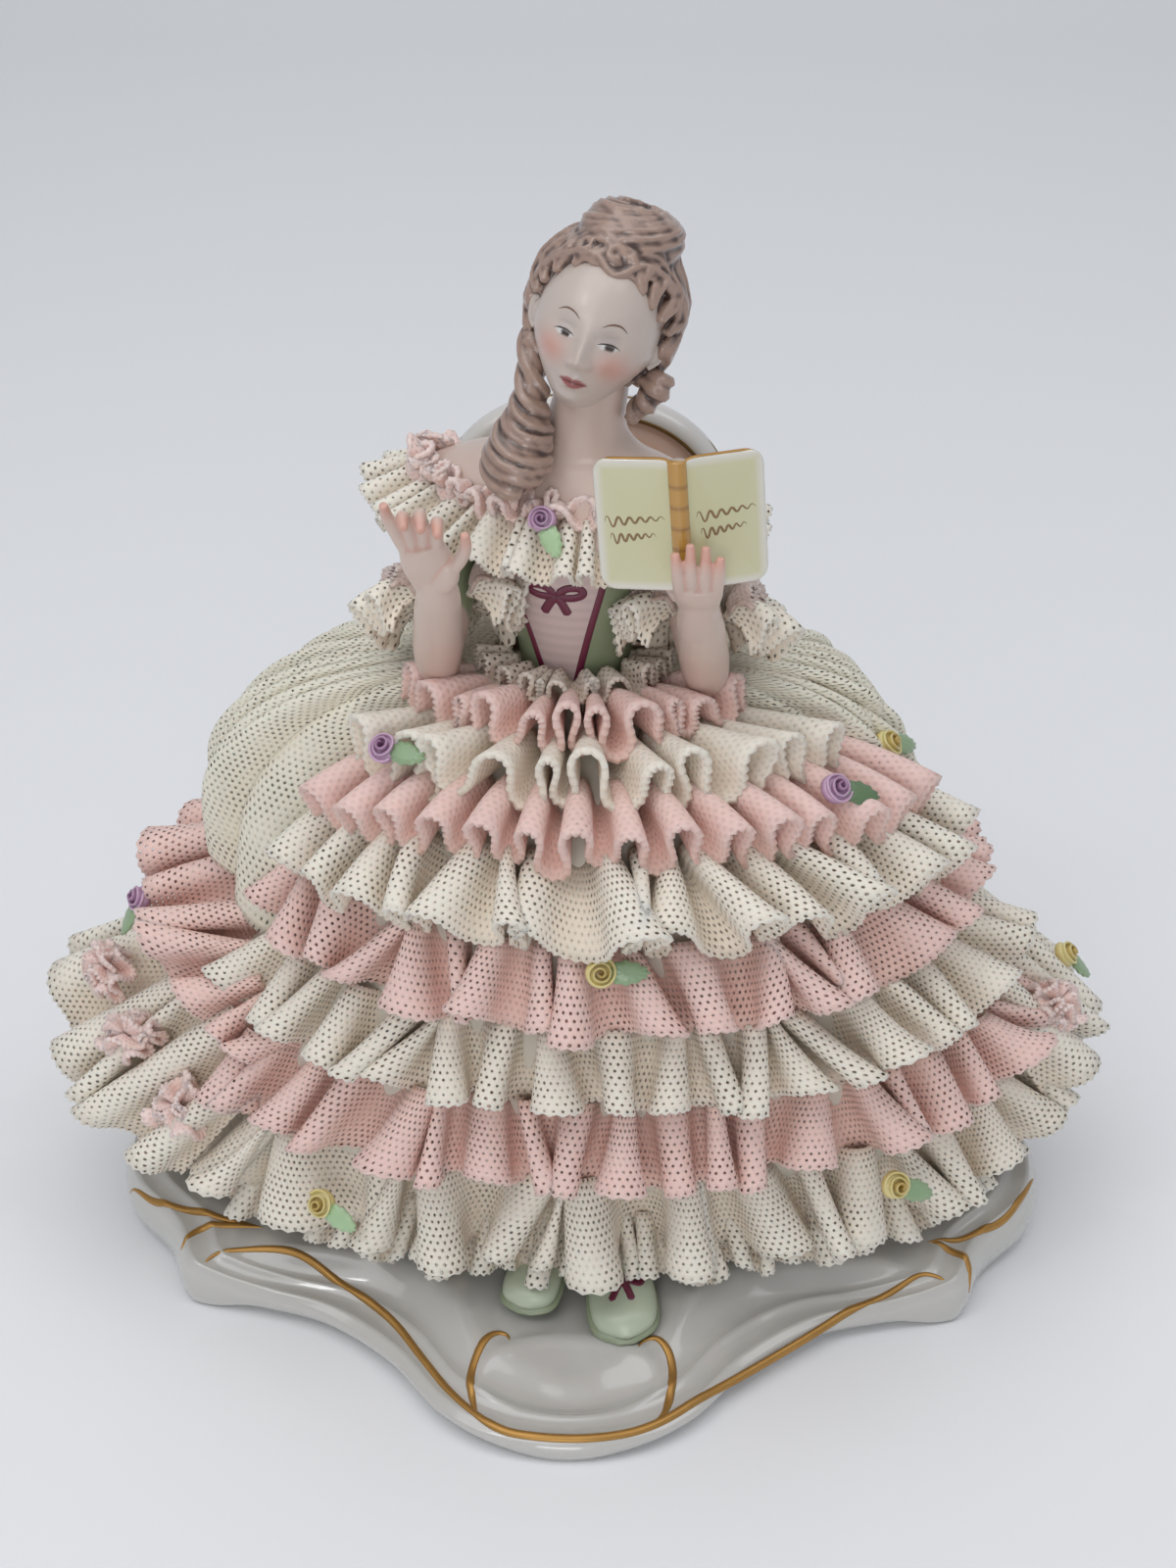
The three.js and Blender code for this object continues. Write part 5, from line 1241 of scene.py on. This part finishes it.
def makeBook(look):
    opening = math.radians(look["sweep"])
    place = turning((look["lean"], look["roll"], 0))

    def onBook(side, points):
        # side is -1 for the left cover and 1 for the right one; the spine is at 0
        along, deep, high = np.moveaxis(np.asarray(points, float), -1, 0)
        across = side * (along * math.cos(opening) - deep * math.sin(opening))
        flat = np.stack([across, along * math.sin(opening) + deep * math.cos(opening), high], -1)
        return flat @ place.T + np.array(look["foot"])

    covers, tones, pages, ink = [], [], [], []
    slab = roundSlab(look["reach"], look["cover"], look["height"], 2.6, 0.6)
    x, _, z = slab[0].T
    near = np.minimum(np.minimum(z, look["height"] - z), look["reach"] - x)  # how near the edge of the cover
    leaf = roundSlab(look["reach"] - 0.8, look["pages"] + 0.4, look["height"] - 1.6, 1.2, 0.3)
    for side in (-1, 1):
        tones.append(mixColor(look["coverTone"], look["edgeTone"], smoothStep(2.2, 0.4, near)))
        covers.append(outward((onBook(side, slab[0]), *slab[1:])))
        pages.append(outward((onBook(side, leaf[0] + np.array([0, look["cover"] - 0.4, 0.8])), *leaf[1:])))
    tree = surfaceOf(addPiece("bookCovers", join(covers), "glaze", np.vstack(tones), "book"))
    addPiece("bookPages", join(pages), "biscuit", look["pageTone"], "book")
    spine = sweep([onBook(1, (0, 0.5, z)) for z in np.linspace(1, 21.6, 6)], [1.55], 20, 60)
    bands = sum(bump(spine[0][:, 2] - look["foot"][2] - z, 0.3) for z in (4, 7.4, 10.8, 14.2, 17.6))
    spineTone = mixColor(look["spineTone"], look["bandTone"], np.clip(bands, 0, 1) * 0.7)
    addPiece("bookSpine", spine, "glaze", spineTone, "book")
    corners = (-1, 12.6), (-1, 8), (-1, 3), (1, 0.2), (1, 4), (1, 9), (1, 12.6)
    top = [onBook(side, (along, 0.5, 22)) for side, along in corners]
    gilding = stroke(tree, top, 0.7, (0, 0, -1), 0.12, 0.08, 60)
    addPiece("bookGold", gilding, "gold", baseLook["gold"], "book")
    lines = (-1, 12.4, 2.4, 11.4), (-1, 11.6, 4, 8.6), (1, 2.4, 12.2, 12), (1, 3, 10.6, 9.2)
    for side, start, end, level in lines:
        # loose wavy lines that die away, two on each side
        t = np.linspace(0, 1, 31)
        wave = (0.9 * np.exp(-2.5 * t) + 0.3) * np.sin(2 * np.pi * (5.2 * t + 0.5 * t * t)) + 0.9 * t
        wavy = onBook(side, np.stack([start + (end - start) * t, 0 * t - 0.5, level + wave], -1))
        ink.append(stroke(tree, wavy, 0.4, (0, 1, 0), 0.06, 0.3, 120))
    addPiece("bookInk", join(ink), "skin", look["ink"], "book")


makeBook(bookLook)

# Chair back
chairLook = {"halfWidth": 30.5, "halfHeight": 33, "middle": (0, 41, 128), "lean": -4, "squareness": 2.5,
             "white": "#D2CFCA", "panel": "#DDB9A4", "scroll": "#84683F",
             "curl": [(14, 6), (13, 14), (9, 19), (5.5, 17), (6.5, 13.5), (9, 14.6)]}


def makeChair(look):
    rx, rz = look["halfWidth"] - 3.2, look["halfHeight"] - 3.2

    def oval(scale, turn, y=0.0):
        power = 2 / look["squareness"]
        x, z = (np.sign(part) * np.abs(part) ** power for part in (np.cos(turn), np.sin(turn)))
        return np.stack([rx * scale * x, 0 * turn + y, rz * scale * z], -1)

    def stand(shape):
        return move(shape, look["middle"], (look["lean"], 0, 0))

    def standLine(points):
        return stand((np.array(points, float),))[0]

    a = circle(120)
    rim = sweep(oval(1, a), [3.2], 20, 160, 0.72, (0, 1, 0), True)
    profile = (0.3, 1.0), (0.7, 1.0), (0.97, 1.0), (0.97, -0.6), (0.8, -1.1), (0.55, -1.35), (0.25, -1.4)
    panel = loft([oval(scale, a, y) for scale, y in profile])
    posts = [sweep([(s * 19.5, 0, z) for z in (-68, -40, -14)], [3.2, 3.2, 3.0], 20, 16, 0.8)
             for s in (-1, 1)]
    wood = join([stand(shape) for shape in (rim, *posts)])
    outer = surfaceOf(addPiece("chairFrame", wood, "glaze", look["white"], "chair_back"))
    inner = surfaceOf(addPiece("chairPanel", stand(panel), "glaze", look["panel"], "chair_back"))
    strokes = []
    for scale, width in ((0.965, 1.1), (1.075, 0.7)):
        line = standLine(oval(scale, np.linspace(-0.6, math.pi + 0.6, 60)))
        strokes.append(stroke(outer, line, width, (0, 1, 0), 0.18, 0.05, 120))
    for side in (-1, 1):
        line = standLine([(side * x, 0, z) for x, z in look["curl"]])
        strokes.append(stroke(inner, line, 0.9, (0, 1, 0), 0.16, 0.15, 60))
    addPiece("chairGold", join(strokes), "gold", look["scroll"], "chair_back")


makeChair(chairLook)
print("book and chair made")

# Applied flowers: place, outward direction, leaf turn, kind, size and colour of the leaf
roses = [
    ((-5.5, -5.5, 155.6), (-0.2, -0.85, 0.5), -60, "mauve", 0.85, "#A9C79B"),
    ((-32.5, -17, 118), (-0.3, -0.6, 0.75), 0, "mauve", 1, "#8FA982"),
    ((45.4, -18.4, 112.4), (0.4, -0.55, 0.7), -30, "mauve", 1, "#5F7A55"),
    ((56.5, 4, 109), (0.7, -0.3, 0.65), -30, "yellow", 1, "#8FA982"),
    ((97, 22, 52), (0.75, -0.2, 0.6), -70, "yellow", 1, "#8FA982"),
    ((5.5, -38, 86.4), (0.05, -0.85, 0.5), 0, "yellow", 1, "#8FA982"),
    ((-85, 8, 70), (-0.8, -0.4, 0.5), -90, "mauve", 1, "#8FA982"),
    ((-46, -35.5, 32), (-0.35, -0.85, 0.4), -20, "yellow", 1, "#A9C79B"),
    ((59.5, -32.5, 37), (0.45, -0.8, 0.4), -30, "yellow", 1, "#8FA982"),
]
roseLook = {"radius": 3.3, "turns": 2.7, "thickness": 0.34, "mauve": ("#CBA9C4", "#855A80"),
            "yellow": ("#E2D494", "#AE8F42"),
            "leaf": [(0.1, 0.0), (0.55, 0.02), (0.97, -0.06), (1, -0.14), (0.95, -0.24), (0.4, -0.3)]}


def makeRose(index, place, out, spin, kind, size, leafTone):
    r = roseLook["radius"] * size
    turn = np.linspace(0, roseLook["turns"], 110)
    v = np.linspace(0, 1, 9)[:, None]
    petals = 0.5 + 0.5 * np.cos(2 * np.pi * turn * 1.9 + 0.8)
    flare = r * 0.09 * v ** 3 * (turn / roseLook["turns"]) * petals
    radius = r * (0.1 + 0.26 * turn) * (0.62 + 0.38 * v ** 0.7) + flare
    height = r * (-0.55 + (1.12 - 0.17 * turn) * v - 0.1 * v ** 3 * petals * (turn > 1.2))
    a = 2 * np.pi * turn + 0.6 * index
    grid = np.stack([radius * np.cos(a), radius * np.sin(a), height + 0 * turn], -1)
    spiral, _ = thickSheet(grid, roseLook["thickness"], np.zeros((9, 110, 2)))
    bud = ball((0, 0, -0.35 * r), (0.82 * r, 0.82 * r, 0.42 * r), columns=20, rows=10)
    flower = join([spiral, bud])
    x, y, z = flower[0].T
    # painted shade: the heart of the rose and its underside take the darker tone
    deep = np.clip(1.1 - np.hypot(x, y) / (0.62 * r), 0, 1) + (z < -0.2 * r) * 0.5
    tone = mixColor(*roseLook[kind], np.clip(deep, 0, 1))
    t = circle(60)
    edge = 1 + 0.07 * np.cos(11 * t)
    c, s = edge * np.cos(t), edge * np.sin(t) * (1 - 0.25 * np.cos(t))
    rings = [np.stack([1.45 * r + 1.05 * r * scale * c, 0.62 * r * scale * s, 0 * c + level * r], -1)
             for scale, level in roseLook["leaf"]]
    for name, shape, paint in (("Petals", flower, tone), ("Leaf", loft(rings), leafTone)):
        shape = placeFacing(shape, place, out, spin)
        addPiece(f"rose{index}{name}", shape, "petal", paint, f"rose_{index}")


for i, rose in enumerate(roses):
    makeRose(i + 1, *rose)
print("flowers made")


# Floor with a soft bend up behind
def makeFloor(look):
    halfWidth, front, bend, rise = (look[key] for key in ("halfWidth", "front", "bend", "rise"))
    turns, radius = np.linspace(0, np.pi / 2, 24), rise / 3
    curve = [(bend + radius * math.sin(t), radius * (1 - math.cos(t))) for t in turns]
    line = [(front, 0), *curve, (bend + radius, rise)]
    grid = np.array([[(x, y, z - 0.02) for x in (-halfWidth, 0, halfWidth)] for y, z in line])
    mesh = bpy.data.meshes.new("floor")
    mesh.from_pydata((grid.reshape(-1, 3) * millimetre).tolist(), [], gridFaces(len(line), 3).tolist())
    floor = bpy.data.objects.new("floor", mesh)
    bpy.context.scene.collection.objects.link(floor)
    material = bpy.data.materials.new("paper")
    material.use_nodes = True
    shader = material.node_tree.nodes["Principled BSDF"]
    fill(material.node_tree, shader, {"Base Color": (*linear(look["color"]), 1), "Roughness": 0.6})
    mesh.materials.append(material)
    mesh.polygons.foreach_set("use_smooth", np.ones(len(mesh.polygons), bool))


makeFloor(floorLook)
